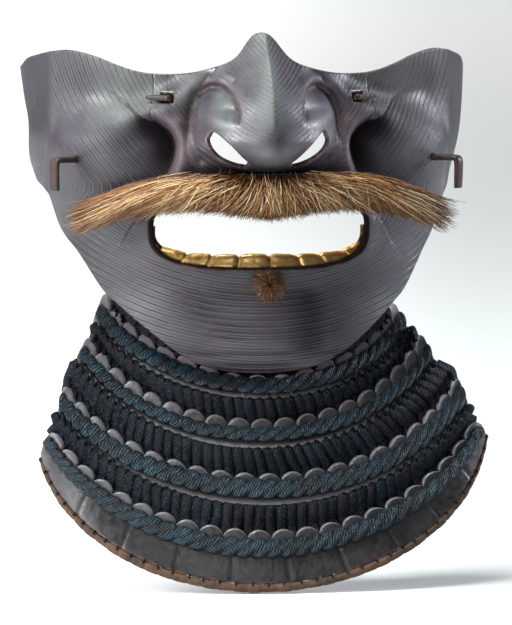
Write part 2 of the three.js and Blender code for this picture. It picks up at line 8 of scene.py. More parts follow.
import bpy
import numpy as np
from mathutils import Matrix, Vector


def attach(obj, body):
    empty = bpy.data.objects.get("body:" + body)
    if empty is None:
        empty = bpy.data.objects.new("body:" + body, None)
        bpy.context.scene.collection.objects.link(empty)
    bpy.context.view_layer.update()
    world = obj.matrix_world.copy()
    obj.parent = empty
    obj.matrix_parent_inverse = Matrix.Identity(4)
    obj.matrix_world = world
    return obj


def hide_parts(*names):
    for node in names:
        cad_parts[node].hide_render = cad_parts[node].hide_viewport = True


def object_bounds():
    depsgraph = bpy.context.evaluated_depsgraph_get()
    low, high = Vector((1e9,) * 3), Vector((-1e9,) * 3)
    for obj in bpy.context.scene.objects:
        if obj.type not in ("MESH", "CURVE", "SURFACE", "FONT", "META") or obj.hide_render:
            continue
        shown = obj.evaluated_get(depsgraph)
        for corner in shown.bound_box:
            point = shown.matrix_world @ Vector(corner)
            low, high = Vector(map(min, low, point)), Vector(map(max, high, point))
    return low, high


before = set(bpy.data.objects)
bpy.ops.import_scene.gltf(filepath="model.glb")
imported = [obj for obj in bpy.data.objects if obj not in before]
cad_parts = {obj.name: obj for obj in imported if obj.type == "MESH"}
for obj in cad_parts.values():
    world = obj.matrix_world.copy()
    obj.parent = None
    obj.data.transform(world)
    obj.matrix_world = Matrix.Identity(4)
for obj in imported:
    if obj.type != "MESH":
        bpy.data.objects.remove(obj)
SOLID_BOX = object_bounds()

MM = 0.001
chance = np.random.default_rng(1615)  # every random draw

# ------------------------------------------------------------------ camera and light
AZIMUTH, ELEVATION, DISTANCE = -6.4, 4.0, 3.0
CAMERA_SLOPE = 0.112  # metres to -X that the camera is for each metre to -Y
FOCAL_LENGTH, AIM_RIGHT, AIM_DOWN = 421.5, 0.0026, 0.036
LIT_POINT = Vector((0, 0, -0.02))


def place_camera():
    """The camera stands on a ball round the middle of the guard and looks a little below and right of it."""
    turn, lift = math.radians(AZIMUTH), math.radians(ELEVATION)
    out = Vector((math.sin(turn) * math.cos(lift), -math.cos(turn) * math.cos(lift), math.sin(lift)))
    right = Vector((math.cos(turn), math.sin(turn), 0))
    up = out.cross(right)
    lens = bpy.data.cameras.new("camera")
    lens.lens, lens.sensor_width, lens.clip_end = FOCAL_LENGTH, 36, 60
    camera = bpy.data.objects.new("camera", lens)
    camera.location = out * DISTANCE
    aim = right * AIM_RIGHT - up * AIM_DOWN
    camera.rotation_euler = (camera.location - aim).to_track_quat("Z", "Y").to_euler()
    bpy.context.collection.objects.link(camera)
    bpy.context.scene.camera = camera


def soft_light(name, place, size, power, tint=(1, 1, 1)):
    """A square softbox that faces the middle of the guard."""
    lamp = bpy.data.lights.new(name, "AREA")
    lamp.shape, lamp.size, lamp.energy, lamp.color = "SQUARE", size, power, tint
    light = bpy.data.objects.new(name, lamp)
    light.location = place
    light.rotation_euler = (Vector(place) - LIT_POINT).to_track_quat("Z", "Y").to_euler()
    bpy.context.collection.objects.link(light)


place_camera()
soft_light("key_light", (-1.8, -0.35, 0.78), 0.8, 47, (0.97, 1.0, 0.99))
soft_light("low_light", (-1.5, -0.9, 0.0), 0.4, 7)
soft_light("top_light", (-0.45, -0.15, 2.0), 0.8, 56, (0.94, 1.0, 0.98))
soft_light("front_light", (-0.4, -2.2, 1.6), 0.7, 7)
soft_light("right_light", (1.75, 0.38, 0.55), 0.45, 24, (0.86, 0.88, 1.0))
soft_light("floor_light", (-2.0, 7.2, 3.4), 9.0, 530)
bpy.data.objects["floor_light"].rotation_euler = (0, 0, 0)
studio = bpy.data.worlds.new("studio")
studio.use_nodes = True
backdrop = studio.node_tree.nodes["Background"].inputs
backdrop["Color"].default_value, backdrop["Strength"].default_value = (0.95, 0.97, 1.0, 1), 0.14
bpy.context.scene.world = studio
bpy.context.scene.view_settings.view_transform = "Standard"


# ------------------------------------------------------------------ small maths
def fade(low, high, t):
    """0 up to low, 1 from high, and a smooth step between."""
    s = np.clip((t - low) / (high - low), 0, 1)
    return s * s * (3 - 2 * s)


def bell(d, w):
    """1 where d is 0, falling off with the square of d over w."""
    return np.exp(-((d / w) ** 2))


def mix(a, b, t):
    """a where t is 0, b where t is 1."""
    return a + (b - a) * t


def oval_size(x, z, power=2.0):
    """1 on the outline of a unit oval and less inside it; the oval is squarer as the power grows."""
    return (np.abs(x) ** power + np.abs(z) ** power) ** (1 / power)


def to_segment(x, z, a, b):
    """Where a point is nearest to the segment from a to b, 0 to 1 along it, and its distance from there."""
    (ax, az), (dx, dz) = a, b - a
    t = np.clip(((x - ax) * dx + (z - az) * dz) / (dx * dx + dz * dz), 0, 1)
    return t, np.hypot(x - ax - t * dx, z - az - t * dz)


def through(at, value):
    """A smooth curve through a table: cubic steps whose slopes are those of the neighbours' chord."""
    at, value = np.array(at, float), np.array(value, float)
    before, after = np.maximum(np.arange(len(at)) - 1, 0), np.minimum(np.arange(len(at)) + 1, len(at) - 1)
    slope = (value[after] - value[before]) / (at[after] - at[before])

    def curve(t):
        t = np.clip(t, at[0], at[-1])
        i = np.clip(np.searchsorted(at, t, side="right") - 1, 0, len(at) - 2)
        step = at[i + 1] - at[i]
        s = (t - at[i]) / step
        rise = value[i + 1] - value[i]
        a, b = slope[i] * step, slope[i + 1] * step
        return value[i] + s * (a + s * (3 * rise - 2 * a - b + s * (a + b - 2 * rise)))

    return curve


def rounded(points, steps, closed=False):
    """Catmull-Rom curve through points (n, d), with steps pieces between neighbours."""
    p = np.array(points, float)
    spans = len(p) if closed else len(p) - 1
    t = np.linspace(0, spans, spans * steps + 1)
    i = np.minimum(t.astype(int), spans - 1)
    w = (t - i)[:, None]
    at = (lambda k: p[(i + k) % len(p)]) if closed else (lambda k: p[np.clip(i + k, 0, len(p) - 1)])
    a, b, c, d = at(-1), at(0), at(1), at(2)
    m, n = (c - a) / 2, (d - b) / 2
    return (2 * b - 2 * c + m + n) * w**3 + (3 * c - 3 * b - 2 * m - n) * w**2 + m * w + b


def fold(x, z):
    """Distance of a point from a fold's smooth line, with the side of it and how far along it that is."""
    line = rounded(np.column_stack([x, z]), 5)

    def near(x, z):
        away = np.full(np.shape(x), np.inf)
        side, along = np.ones(np.shape(x)), np.zeros(np.shape(x))
        for i, (a, b) in enumerate(zip(line, line[1:])):
            t, gap = to_segment(x, z, a, b)
            close = gap < away
            away = np.where(close, gap, away)
            turned = (b - a)[0] * (z - a[1]) - (b - a)[1] * (x - a[0])
            side = np.where(close, np.where(turned < 0, -1, 1), side)
            along = np.where(close, (i + t) / (len(line) - 1), along)
        return away, side, along

    return near


def inside_of(outline):
    """Distance in mm from a closed outline of (x, z) points, above 0 inside it."""
    p = np.array(outline, float)

    def depth(x, z):
        away, inner = np.full(np.shape(x), np.inf), np.zeros(np.shape(x), bool)
        for a, b in zip(p, np.roll(p, -1, axis=0)):
            away = np.minimum(away, to_segment(x, z, a, b)[1])
            dx, dz = b - a
            crossing = a[0] + (z - a[1]) * dx / (dz if abs(dz) > 1e-9 else 1e-9)
            inner ^= ((a[1] > z) != (b[1] > z)) & (x < crossing)
        return np.where(inner, away, -away)

    return depth


def unit(v):
    """v at length 1 along its last axis."""
    return v / np.maximum(np.linalg.norm(v, axis=-1, keepdims=True), 1e-12)


def blurred(a, times):
    """A grid of values averaged with its neighbours, times over; the grid's edges repeat."""
    for _ in range(times):
        for axis in (0, 1):
            wide = np.concatenate([a.take([0], axis), a, a.take([-1], axis)], axis)
            n = a.shape[axis]
            a = sum(wide.take(range(k, k + n), axis) for k in range(3)) / 3
    return a


# ------------------------------------------------------------------ meshes
def piece(name, points, faces, finish, stands_for, marks=None, corners=None, inner=None):
    """One piece of the guard: points in mm (n, 3), arrays of faces of equal length, its material, the
    part's nodes that it stands for, values at its points, and (along, across) in mm at its corners."""
    mesh = bpy.data.meshes.new(name)
    mesh.vertices.add(len(points))
    mesh.vertices.foreach_set("co", (np.asarray(points) * MM).astype(np.float32).ravel())
    loops = np.concatenate([f.ravel() for f in faces]).astype(np.int32)
    counts = np.concatenate([np.full(len(f), f.shape[1]) for f in faces])
    mesh.loops.add(len(loops))
    mesh.loops.foreach_set("vertex_index", loops)
    mesh.polygons.add(len(counts))
    mesh.polygons.foreach_set("loop_start", (np.cumsum(counts) - counts).astype(np.int32))
    mesh.polygons.foreach_set("use_smooth", np.ones(len(counts), bool))
    for material in finish:
        mesh.materials.append(material)
    if inner is not None:
        mesh.polygons.foreach_set("material_index", inner.astype(np.int32))
    for key, values in (marks or {}).items():
        mark = mesh.attributes.new(key, "FLOAT", "POINT")
        mark.data.foreach_set("value", values.ravel().astype(np.float32))
    if corners is not None:
        mesh.uv_layers.new(name="UVMap").uv.foreach_set("vector", corners.astype(np.float32).ravel())
    mesh.update(calc_edges=True)
    mesh.validate()
    made = bpy.data.objects.new(name, mesh)
    bpy.context.collection.objects.link(made)
    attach(made, "root")
    if stands_for:
        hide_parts(*stands_for)


def skins(rings, along=None, across=None):
    """Closed skins over rings of points (k, n, m, 3), with a flat cap at each end. along (k, n) and
    across (m + 1) give every corner its place in mm. Each skin is turned to face outwards."""
    k, n, m = rings.shape[:3]
    index = np.arange(k * n * m).reshape(k, n, m)
    beside = np.roll(index, -1, axis=2)
    quads = np.stack([index[:, :-1], beside[:, :-1], beside[:, 1:], index[:, 1:]], -1)
    caps = np.stack([index[:, 0, ::-1], index[:, -1]], 1)
    if along is None:
        along = np.tile(np.arange(n, dtype=float), (k, 1))
    if across is None:
        across = np.arange(m + 1, dtype=float)
    s, r = np.broadcast_to(along[:, :, None], (k, n, m)), np.broadcast_to(across, (k, n, m + 1))
    at = lambda rows, low: np.stack([s[:, rows], r[:, rows, low : low + m]], -1)
    low, high = slice(0, n - 1), slice(1, n)
    places = np.stack([at(low, 0), at(low, 1), at(high, 1), at(high, 0)], 3)
    first, last = np.stack([s[:, 0], r[:, 0, :m]], -1), np.stack([s[:, -1], r[:, -1, :m]], -1)
    ends = np.stack([first[:, ::-1], last], 1)
    mid = n // 2
    ring = rings[:, mid]
    outward = ring - ring.mean(1, keepdims=True)
    turning = np.roll(ring, -1, 1) - ring
    ahead = (rings[:, min(mid + 1, n - 1)] - rings[:, mid - 1]).mean(1)[:, None]
    facing = (np.cross(turning, ahead) * outward).sum((-1, -2)) < 0
    quads[facing], places[facing] = quads[facing][..., ::-1], places[facing][..., ::-1, :]
    caps[facing], ends[facing] = caps[facing][..., ::-1], ends[facing][..., ::-1, :]
    corners = np.concatenate([places.reshape(-1, 2), ends.reshape(-1, 2)])
    return rings.reshape(-1, 3), [quads.reshape(-1, 4), caps.reshape(-1, m)], corners


def oval(m, power=2.0):
    """m points (c, s) round a unit oval."""
    turn = 2 * np.pi * np.arange(m) / m
    c, s = np.cos(turn), np.sin(turn)
    return np.array([c, s]) / oval_size(c, s, power)


def oval_rings(centre, side, rise, m, power=2.0):
    """Ovals of m points round centre (k, n, 3), whose half-axes are the vectors side and rise."""
    c, s = oval(m, power)[..., None]
    return centre[:, :, None] + c * side[:, :, None] + s * rise[:, :, None]


def tube(path, out, wide, thick, m, power=2.0):
    """Rings along paths (k, n, 3), with the half-axis thick turned towards out and wide across it."""
    ahead = unit(np.gradient(path, axis=1))
    side = unit(np.cross(ahead, out))
    return oval_rings(path, side * wide, unit(np.cross(side, ahead)) * thick, m, power)


# ------------------------------------------------------------------ materials, and the floor
# What Finish.add can add. Each kind has the node's type, its settings, its inputs in the order of the
# call's values, and the output that the call gives back. Any other kind is a step of arithmetic.
KINDS = {
    "place": ("TexCoord", {}, (), "Object"),
    "laid": ("UVMap", {}, (), "UV"),
    "mark": ("Attribute", {}, (), "Fac"),
    "noise": ("TexNoise", {}, ("Vector", "Scale", "Detail", "Roughness"), "Fac"),
    "blend": ("Mix", {"data_type": "RGBA"}, (0, 6, 7), 2),
    "step": ("MapRange", {"interpolation_type": "SMOOTHSTEP"}, (0, 1, 2, 3, 4), 0),
    "bump": ("Bump", {}, ("Height", "Distance", "Normal"), 0),
    "x": ("SeparateXYZ", {}, (0,), "X"),
    "y": ("SeparateXYZ", {}, (0,), "Y"),
}


def hue(code):
    """The linear colour of an sRGB hex value."""
    parts = [int(code[i : i + 2], 16) / 255 for i in (1, 3, 5)]
    return tuple(c / 12.92 if c <= 0.04045 else ((c + 0.055) / 1.055) ** 2.4 for c in parts) + (1.0,)


def per(size_mm):
    """The scale of a noise whose patches are about size_mm wide, on Object coordinates in metres."""
    return 1 / (2 * size_mm * MM)


class Finish:
    """A new node material. A value in a call is a number, a hex colour or the socket that feeds it."""

    def __init__(self, name):
        self.material = bpy.data.materials.new(name)
        self.material.use_nodes = True
        self.tree = self.material.node_tree
        self.place = self.add("place")

    def feed(self, node, put):
        """Sets inputs of a node, or links them to their sockets."""
        for name, value in put.items():
            if isinstance(value, bpy.types.NodeSocket):
                self.tree.links.new(value, node.inputs[name])
            else:
                node.inputs[name].default_value = hue(value) if isinstance(value, str) else value

    def add(self, kind, *values, **settings):
        """Adds a node of that kind with its settings and links, and returns its output."""
        arithmetic = ("Math", {"operation": kind}, (0, 1), 0)
        type_name, usual, inputs, output = KINDS.get(kind, arithmetic)
        node = self.tree.nodes.new("ShaderNode" + type_name)
        for name, value in (usual | settings).items():
            setattr(node, name, value)
        self.feed(node, dict(zip(inputs, values)))
        return node.outputs[output]

    def patches(self, size_mm, detail, low, high, to_low=0.0, to_high=1.0, rough=0.5):
        """Patches about size_mm wide with soft edges: to_low between them and to_high on them."""
        noise = self.add("noise", self.place, per(size_mm), detail, rough)
        return self.add("step", noise, low, high, to_low, to_high)

    def dented(self, size_mm, detail, depth_mm, rough=0.5):
        """Bump of soft dents about size_mm wide."""
        return self.add("bump", self.add("noise", self.place, per(size_mm), detail, rough), depth_mm * MM)

    def coats(self, colour, *laid):
        """A colour with coats laid over it in turn, each a pair of how thickly and which colour."""
        for amount, coat in laid:
            colour = self.add("blend", amount, colour, coat)
        return colour

    def total(self, first, *others):
        """The sum of all the values."""
        for other in others:
            first = self.add("ADD", first, other)
        return first

    def made(self, put):
        """The material, with those inputs of its Principled shader set."""
        self.feed(self.tree.nodes["Principled BSDF"], put)
        return self.material


def engraved_urushi():
    """Dark urushi lacquer brushed over hammered iron, then scored by hand with fine curved lines.

    The eye sees a brown-black skin with a silky, slightly purple gloss, each score as a dark line with a
    painted highlight on its lip, painted shade in the cheek hollows, under the nose and round the mouth, a
    painted dark reflection on the chin, painted shade in creases and painted highlight on crests, a painted
    grey-green highlight on the upper cheek and the keel, and a red-brown undercoat on rubbed folds and edges."""
    f = Finish("engraved_urushi_on_iron")
    marks = ("score", "bare", "painted_shade", "warm", "crease_shade_crest_highlight", "rim", "painted_highlight")
    score, bare, painted_shade, warm, crease_shade_crest_highlight, rim, painted_highlight = (f.add("mark", attribute_name=name) for name in marks)
    wobble = f.add("MULTIPLY", f.add("noise", f.place, per(14), 1.0), 0.25)
    wave = f.add("MULTIPLY", f.add("PINGPONG", f.add("ADD", score, wobble), 0.5), 2.0)
    drawn = f.add("MULTIPLY", f.add("SUBTRACT", 1.0, bare), f.patches(8, 2.0, 0.34, 0.58, 0.45))
    cut = f.add("MULTIPLY", f.add("step", wave, 0.72, 0.96), drawn)
    # The band beside each score, for a painted highlight of the groove's lit wall.
    lip = f.add("SUBTRACT", f.add("step", wave, 0.45, 0.68), f.add("step", wave, 0.7, 0.8))
    rubbed = f.patches(2.2, 4.0, 0.36, 0.64, rough=0.6)
    grain = f.add("noise", f.place, per(0.7), 3.0, 0.6)
    skin = f.coats(
        "#201a25",
        (f.patches(22, 3.0, 0.35, 0.68), "#352e3c"),
        (f.patches(5, 3.0, 0.45, 0.75, 0.0, 0.5), "#2e2122"),
        # Painted shade in creases, then a painted highlight on crests.
        (f.add("step", crease_shade_crest_highlight, -0.9, -0.2, 0.5, 0.0), "#1c1416"),
        (f.add("step", crease_shade_crest_highlight, 0.3, 1.0, 0.0, 0.3), "#443c41"),
        (f.add("MULTIPLY", warm, f.add("step", rubbed, 0.0, 1.0, 0.15, 0.7)), "#57363a"),
        (f.add("MULTIPLY", f.add("step", rim, 0.0, 0.9, 0.7, 0.0), rubbed), "#553a37"),
        # Painted highlight on the lip beside each score.
        (f.add("MULTIPLY", f.add("MULTIPLY", lip, drawn), 0.45), "#857f84"),
        (f.add("MULTIPLY", cut, 0.85), "#110d0e"),
        # Painted shade in the hollows, under the nose and round the mouth, and a painted dark reflection on
        # the chin.
        (f.add("MULTIPLY", painted_shade, 0.95), "#070606"),
        # Painted grey-green highlight.
        (f.add("MULTIPLY", f.add("MULTIPLY", painted_highlight, f.patches(6, 3.0, 0.3, 0.6, 0.5)), 0.65), "#6a706d"),
    )
    gloss = f.total(
        f.add("step", grain, 0.3, 0.8, 0.3, 0.44),
        f.add("MULTIPLY", painted_shade, 0.35),
        f.add("step", f.add("MAXIMUM", crease_shade_crest_highlight, warm), 0.1, 0.9, 0.0, 0.16),
        f.patches(11, 3.0, 0.36, 0.66, -0.03, 0.12),
    )
    height = f.add("SUBTRACT", f.add("MULTIPLY", grain, 0.22), cut)
    # Almost no specular where shade is painted.
    gleam = f.add("step", painted_shade, 0.0, 0.8, 0.56, 0.03)
    hammered = f.dented(7, 1.0, 0.22)
    return f.made({"Base Color": skin, "Roughness": gloss, "Specular IOR Level": gleam, "IOR": 1.6,
                   "Normal": f.add("bump", height, 0.26 * MM, hammered)})


def red_urushi():
    """Vermilion urushi lacquer inside the mask: smooth, glossy and a little darker where it pooled."""
    f = Finish("red_urushi")
    skin = f.coats("#7c1f15", (f.patches(18, 3.0, 0.35, 0.65), "#9c3122"))
    gloss = f.patches(2, 2.0, 0.3, 0.7, 0.25, 0.4)
    return f.made({"Base Color": skin, "Roughness": gloss, "IOR": 1.52, "Normal": f.dented(4, 2.0, 0.12)})


def gilding():
    """Gold leaf over a raised ground, old and rubbed: light, bright reflections, and painted shade in dark
    brown in the valleys between teeth and along the gum."""
    f = Finish("gold_leaf")
    worn = f.patches(1.6, 3.0, 0.46, 0.7)
    # Painted shade in dark brown between the teeth and along the gum.
    low = f.add("step", f.add("mark", attribute_name="valley"), 0.2, 1.0, 0.0, 0.92)
    gold = f.coats("#e0bb78", (worn, "#8f6934"), (low, "#2f1c10"))
    gloss = f.add("step", worn, 0.0, 1.0, 0.3, 0.5)
    return f.made({"Base Color": gold, "Roughness": gloss, "Metallic": 1.0,
                   "Normal": f.dented(1.1, 2.0, 0.12)})


def horsehair():
    """Stiff tan and brown horsehair: each strand has its own shade, dark at its root and often burnt at
    its tip, with a silky streak of light. Moustache strands deep in their bundle carry painted shade."""
    f = Finish("horsehair")
    shade, along = (f.add("mark", attribute_name=name) for name in ("shade", "along"))
    strand = f.coats(
        "#1a0d07",
        (f.add("step", shade, 0.0, 0.5), "#78451f"),
        (f.add("step", shade, 0.45, 0.85), "#c2905a"),
        (f.add("step", shade, 0.85, 0.97), "#ecd3a8"),
        (f.add("step", along, 0.0, 0.16, 0.5, 0.0), "#1d110a"),
        (f.add("step", along, 0.72, 1.0, 0.0, 0.5), "#43260f"),
    )
    gloss = f.add("step", shade, 0.0, 1.0, 0.5, 0.34)
    return f.made({"Base Color": strand, "Roughness": gloss, "Specular IOR Level": 0.55})


def forged_iron():
    """Blackened forged iron gone rusty brown: matt, finely pitted, with a dull shine on the corners."""
    f = Finish("rusty_forged_iron")
    rust = f.patches(1.6, 4.0, 0.4, 0.62, rough=0.65)
    gloss = f.add("step", rust, 0.0, 1.0, 0.42, 0.75)
    return f.made({"Base Color": f.coats("#2c2629", (rust, "#4b342f")), "Roughness": gloss,
                   "Metallic": 0.35, "Normal": f.dented(0.6, 3.0, 0.15, 0.7)})


def scale_lacquer():
    """Urushi lacquer over fused scales of the throat guard: a soft grey-brown skin, glossier than iron,
    with dents, painted highlights along the heads' top edges and on lit strips, and the ochre ground showing
    where corners are chipped."""
    f = Finish("urushi_on_scales")
    notch, lip, worn = (f.add("mark", attribute_name=name) for name in ("notch", "lip", "worn"))
    skin = f.coats(
        "#1f1c1e",
        (f.patches(12, 3.0, 0.36, 0.66), "#302d2f"),
        (f.patches(2.2, 4.0, 0.5, 0.72, 0.0, 0.5, 0.6), "#1b1819"),
        (f.add("step", notch, 0.25, 1.0, 0.0, 0.9), "#0e0c0c"),
        # Painted highlight along the heads' top edges and on lit strips.
        (f.add("step", lip, 0.1, 0.9, 0.0, 0.75), "#78737a"),
        (f.add("MULTIPLY", worn, f.patches(1.8, 4.0, 0.42, 0.56, rough=0.6)), "#7d5040"),
    )
    grain = f.add("noise", f.place, per(0.8), 3.0, 0.6)
    return f.made({"Base Color": skin, "Roughness": f.patches(1.5, 3.0, 0.3, 0.7, 0.28, 0.5), "IOR": 1.52,
                   "Normal": f.add("bump", grain, 0.08 * MM, f.dented(3.2, 2.0, 0.35))})


def silk(name, dark, body, bright, rib_mm, lean, gleam):
    """Braided silk cord dyed with indigo: ribs of thread rib_mm apart that lean across the cord.

    The eye sees ribs with a painted highlight on each crest and painted shade in each groove, faded and
    darkened in patches, and valleys painted black as shade."""
    f = Finish(name)
    laid = f.add("laid")
    slant = f.add("ADD", f.add("x", laid), f.add("MULTIPLY", f.add("y", laid), lean))
    wander = f.add("MULTIPLY", f.add("noise", f.place, per(1.6), 3.0), rib_mm * 2.0)
    turn = f.add("DIVIDE", f.add("ADD", slant, wander), rib_mm)
    rib = f.add("MULTIPLY", f.add("PINGPONG", turn, 0.5), 2.0)
    lit = f.add("MULTIPLY", f.add("step", rib, 0.2, 0.9), f.patches(5, 3.0, 0.4, 0.7))
    shade, valley = (f.add("mark", attribute_name=name) for name in ("shade", "valley"))
    dye = f.coats(
        dark,
        # Painted highlight on the rib crests, and next painted shade in the rib grooves.
        (f.patches(7, 3.0, 0.38, 0.64), body),
        (f.add("MULTIPLY", lit, 0.5), bright),
        (f.add("step", rib, 0.0, 0.4, 0.45, 0.0), "#04060a"),
        (f.add("MULTIPLY", f.patches(0.5, 1.0, 0.56, 0.66), 0.5), bright),
        (f.add("MULTIPLY", shade, 0.6), "#1e1b22"),
        # Painted black shade in the valleys: between cords, between the braid's lobes, and on the row behind.
        (f.add("step", valley, 0.1, 0.9, 0.0, 0.96), "#020305"),
    )
    fibre = f.add("MULTIPLY", f.add("noise", f.place, per(0.35), 2.0), 0.5)
    return f.made({"Base Color": dye, "Roughness": 0.5, "Specular IOR Level": gleam,
                   "Normal": f.add("bump", f.add("ADD", rib, fibre), 0.28 * MM)})


def tanned_leather():
    """Brown vegetable-tanned deer leather, folded over the lowest edge: matt, with lighter and darker patches
    and fine dents."""
    f = Finish("tanned_deer_leather")
    hide = f.coats(
        "#301f12",
        (f.patches(5, 4.0, 0.36, 0.64, rough=0.6), "#543720"),
        (f.patches(1.4, 3.0, 0.55, 0.75, 0.0, 0.7), "#17100c"),
    )
    return f.made({"Base Color": hide, "Roughness": 0.68, "Normal": f.dented(0.9, 4.0, 0.3, 0.65)})


def pale_floor():
    """A plain matt painted board, larger than the view, under the guard. A painted shadow greys it towards
    +X, across lines that fan out from under the camera."""
    f = Finish("white_matt_board")
    x, y = (f.add(axis, f.place) for axis in "xy")
    aside = f.add("SUBTRACT", x, f.add("MULTIPLY", y, CAMERA_SLOPE))
    across = f.add("DIVIDE", aside, f.add("ADD", y, DISTANCE))
    # Painted shadow: the board greys towards +X.
    board = f.coats("#f8f8f8", (f.add("step", across, -0.024, 0.036), "#cacdcc"))
    near, far, wide, low = -6, 24, 12, SOLID_BOX[0][2] - 0.0002
    mesh = bpy.data.meshes.new("floor")
    corners = [(-wide, near, low), (wide, near, low), (wide, far, low), (-wide, far, low)]
    mesh.from_pydata(corners, [], [(0, 1, 2, 3)])
    mesh.materials.append(f.made({"Base Color": board, "Roughness": 0.9}))
    floor = bpy.data.objects.new("floor", mesh)
    bpy.context.collection.objects.link(floor)


URUSHI, RED, GOLD, HAIR = engraved_urushi(), red_urushi(), gilding(), horsehair()
IRON, SCALE, LEATHER = forged_iron(), scale_lacquer(), tanned_leather()
BLUE_SILK = silk("indigo_silk_braid", "#080d14", "#0f1d27", "#234e61", 1.1, -0.7, 0.26)
DARK_SILK = silk("dark_indigo_silk_cord", "#030508", "#090e16", "#2c3b49", 0.9, 0.8, 0.12)
pale_floor()

# ------------------------------------------------------------------ the mask's relief, as in the part
PLATE, LAME = 2.0, 1.8
RIM_STEPS, RIM_PROUD = 4, 0.35
BACK, WIDE, NARROW = 40, 93.2, 82.5
WING, JAW_END, NOSE_ASIDE = 92, 80.3, 1.2

top_of = through(
    [0, 2.8, 5.4, 7.4, 9.6, 13, 18, 26, 35, 45, 51, 58, 66, 75, 81, 86, 90, WING],
    [80.8, 79.9, 77.2, 74.2, 71.3, 68.8, 66.9, 64.7, 63.5, 63.4,
     64.5, 66.9, 70.1, 72.1, 71.4, 69.8, 67.6, 64],
)
jaw_of = through(
    [0, 15.5, 25, 32.4, 41, 50, 57, 62.3, 70.8, 76.5, JAW_END],
    [-57.7, -56.2, -53.5, -49.7, -43.2, -36, -29.7, -24.5, -10.4, -1.4, 11.4],
)
front_of = through(
    [-58, -52, -46, -38, -24, -14, 0, 12, 25, 40, 60, 82],
    [-38.5, -45.5, -50, -49, -45.5, -46.3, -45.5, -46.5, -47, -45, -41, -37],
)
RIDGE_Z = [23.4, 25, 27, 29.5, 32.5, 36, 41, 47, 53, 59, 65, 71, 77, 82]
nose_off = through(RIDGE_Z, [0, 7, 17, 24.5, 29, 31, 31.6, 32.5, 32, 29.5, 24.5, 17.5, 10, 4.5])
nose_half = through(RIDGE_Z, [24, 24.7, 25.5, 26.3, 27.4, 28.5, 29.4, 29.4, 27.9, 24.5, 19.5, 15, 11.5, 9.5])

crest = fold([12.5, 16.5, 22, 28, 35, 46, 58, 70, 80], [60.5, 63.2, 62.9, 59, 53.2, 45.5, 40.5, 37, 36])
crease = fold([26.5, 29.2, 29.4, 27.6, 25.4], [56, 49, 42, 35, 30])
groove = fold([44, 40.2, 38.2, 38, 39.4, 43, 48], [43.5, 40.5, 37, 33, 26, 16, 7])
snarl = fold([33.5, 32.3, 32.8, 36], [43, 36, 28, 18])
brow_band = fold([36, 52, 70], [60.5, 55, 55])
MOUTH_HALF, MOUTH_Z, MOUTH_UP, MOUTH_DOWN = 43, 1.4, 10.6, 16.1
LOBE_X, LOBE_Z, LOBE_HALF, LOBE_TALL = 19.3, 47.6, 9.2, 13.2


def mouth_level(x, z):
    """1 on the mouth's outline and less inside it: an oval of power 3.3, the lower half deeper."""
    return oval_size(x / MOUTH_HALF, (z - MOUTH_Z) / np.where(z > MOUTH_Z, MOUTH_UP, MOUTH_DOWN), 3.3)


def lobe_level(x, z):
    """1 on the outline of the hollow over the nostril and less inside it."""
    return oval_size((x - LOBE_X) / LOBE_HALF, (z - LOBE_Z) / LOBE_TALL, 2.3)


def nose_relief(x, z):
    """How far the nose stands off: a flat flank rises to the keel, the keel rounds into a ball between
    the nostrils, and the nostril wing is let in below the flank."""
    blunt = 1 - fade(28, 46, z)
    u = np.sqrt((x / nose_half(z)) ** 2 + mix(0.0003, 0.02, blunt)) - mix(0.0173, 0.1414, blunt)
    flank = np.maximum(0, 1 - u) * (1 + 0.35 * (1 - fade(52, 66, z)) * u)
    ball = 0.62 * bell(x, 9.5) + 0.38 * flank
    profile = mix(flank, ball, 0.9 * (1 - fade(26, 38, z)))
    slope = 0.75 * (z - LOBE_Z) / LOBE_TALL - 0.66 * (x - LOBE_X) / LOBE_HALF
    inner = fade(-0.75, 0.75, slope) * fade(43, 51, z)
    return nose_off(z) * profile - 4.2 * inner * (1 - fade(0.84, 1.04, lobe_level(x, z)))


def fold_relief(x, z):
    """How far the other folds stand off: the rolled crest, the snarl beside the nose, the cheek and lip
    stand up, the chin's foot is turned out in a ledge, and the cheek hollow, the crease and the band
    under the brow are let in."""
    away, side, along = crest(x, z)
    high = 4.4 * fade(-0.02, 0.16, along) * mix(1, 0.35, fade(0.6, 1, along))
    above, below = mix(3.4, 6.5, fade(0.05, 0.4, along)), mix(3, 9, fade(0.2, 0.8, along))
    roll = high * bell(away, np.where(side > 0, above, below))
    gap, far, run = groove(x, z)
    hollow = 5.4 * bell(gap, np.where(far > 0, 13, 3.2)) * (1 - 0.75 * fade(0.45, 1, run))
    cheek = 4.8 * bell(np.hypot((x - 66) / 1.15, z - 22), 17)
    folds = 3 * bell(snarl(x, z)[0], 4.6) - 1.6 * bell(crease(x, z)[0], 2)
    band = 2.6 * bell(brow_band(x, z)[0], 8)
    lip = 1.5 * bell(mouth_level(x, z) - 1, 0.13)
    turned = 0.7 * bell(x - 81.5, 1.6) * fade(4, 18, z)
    ledge = 1.3 * fade(-49.3, -53.3, z) * (1 - fade(24, 40, x))
    return (roll + folds - hollow + cheek - band) * (1 - fade(74, 86, x)) + lip + turned + ledge


def off_middle(x, z):
    """Distance from the middle of the hand-made relief, which is aside to +X round the nose."""
    return np.abs(x - NOSE_ASIDE * fade(16, 26, z) * (1 - fade(50, 70, np.abs(x))))


def body_at(x, z):
    """The smooth body, half an oval in plan: its y seen at (x, z), and the direction (x, y) out of it."""
    w = mix(NARROW, WIDE, fade(-5, 40, z))
    deep = BACK - front_of(z)
    r = np.minimum(np.abs(x) / w, 0.995)
    c = np.sqrt(1 - r * r)
    return BACK - deep * c, unit(np.stack([r / w * np.sign(x), -c / deep], -1))


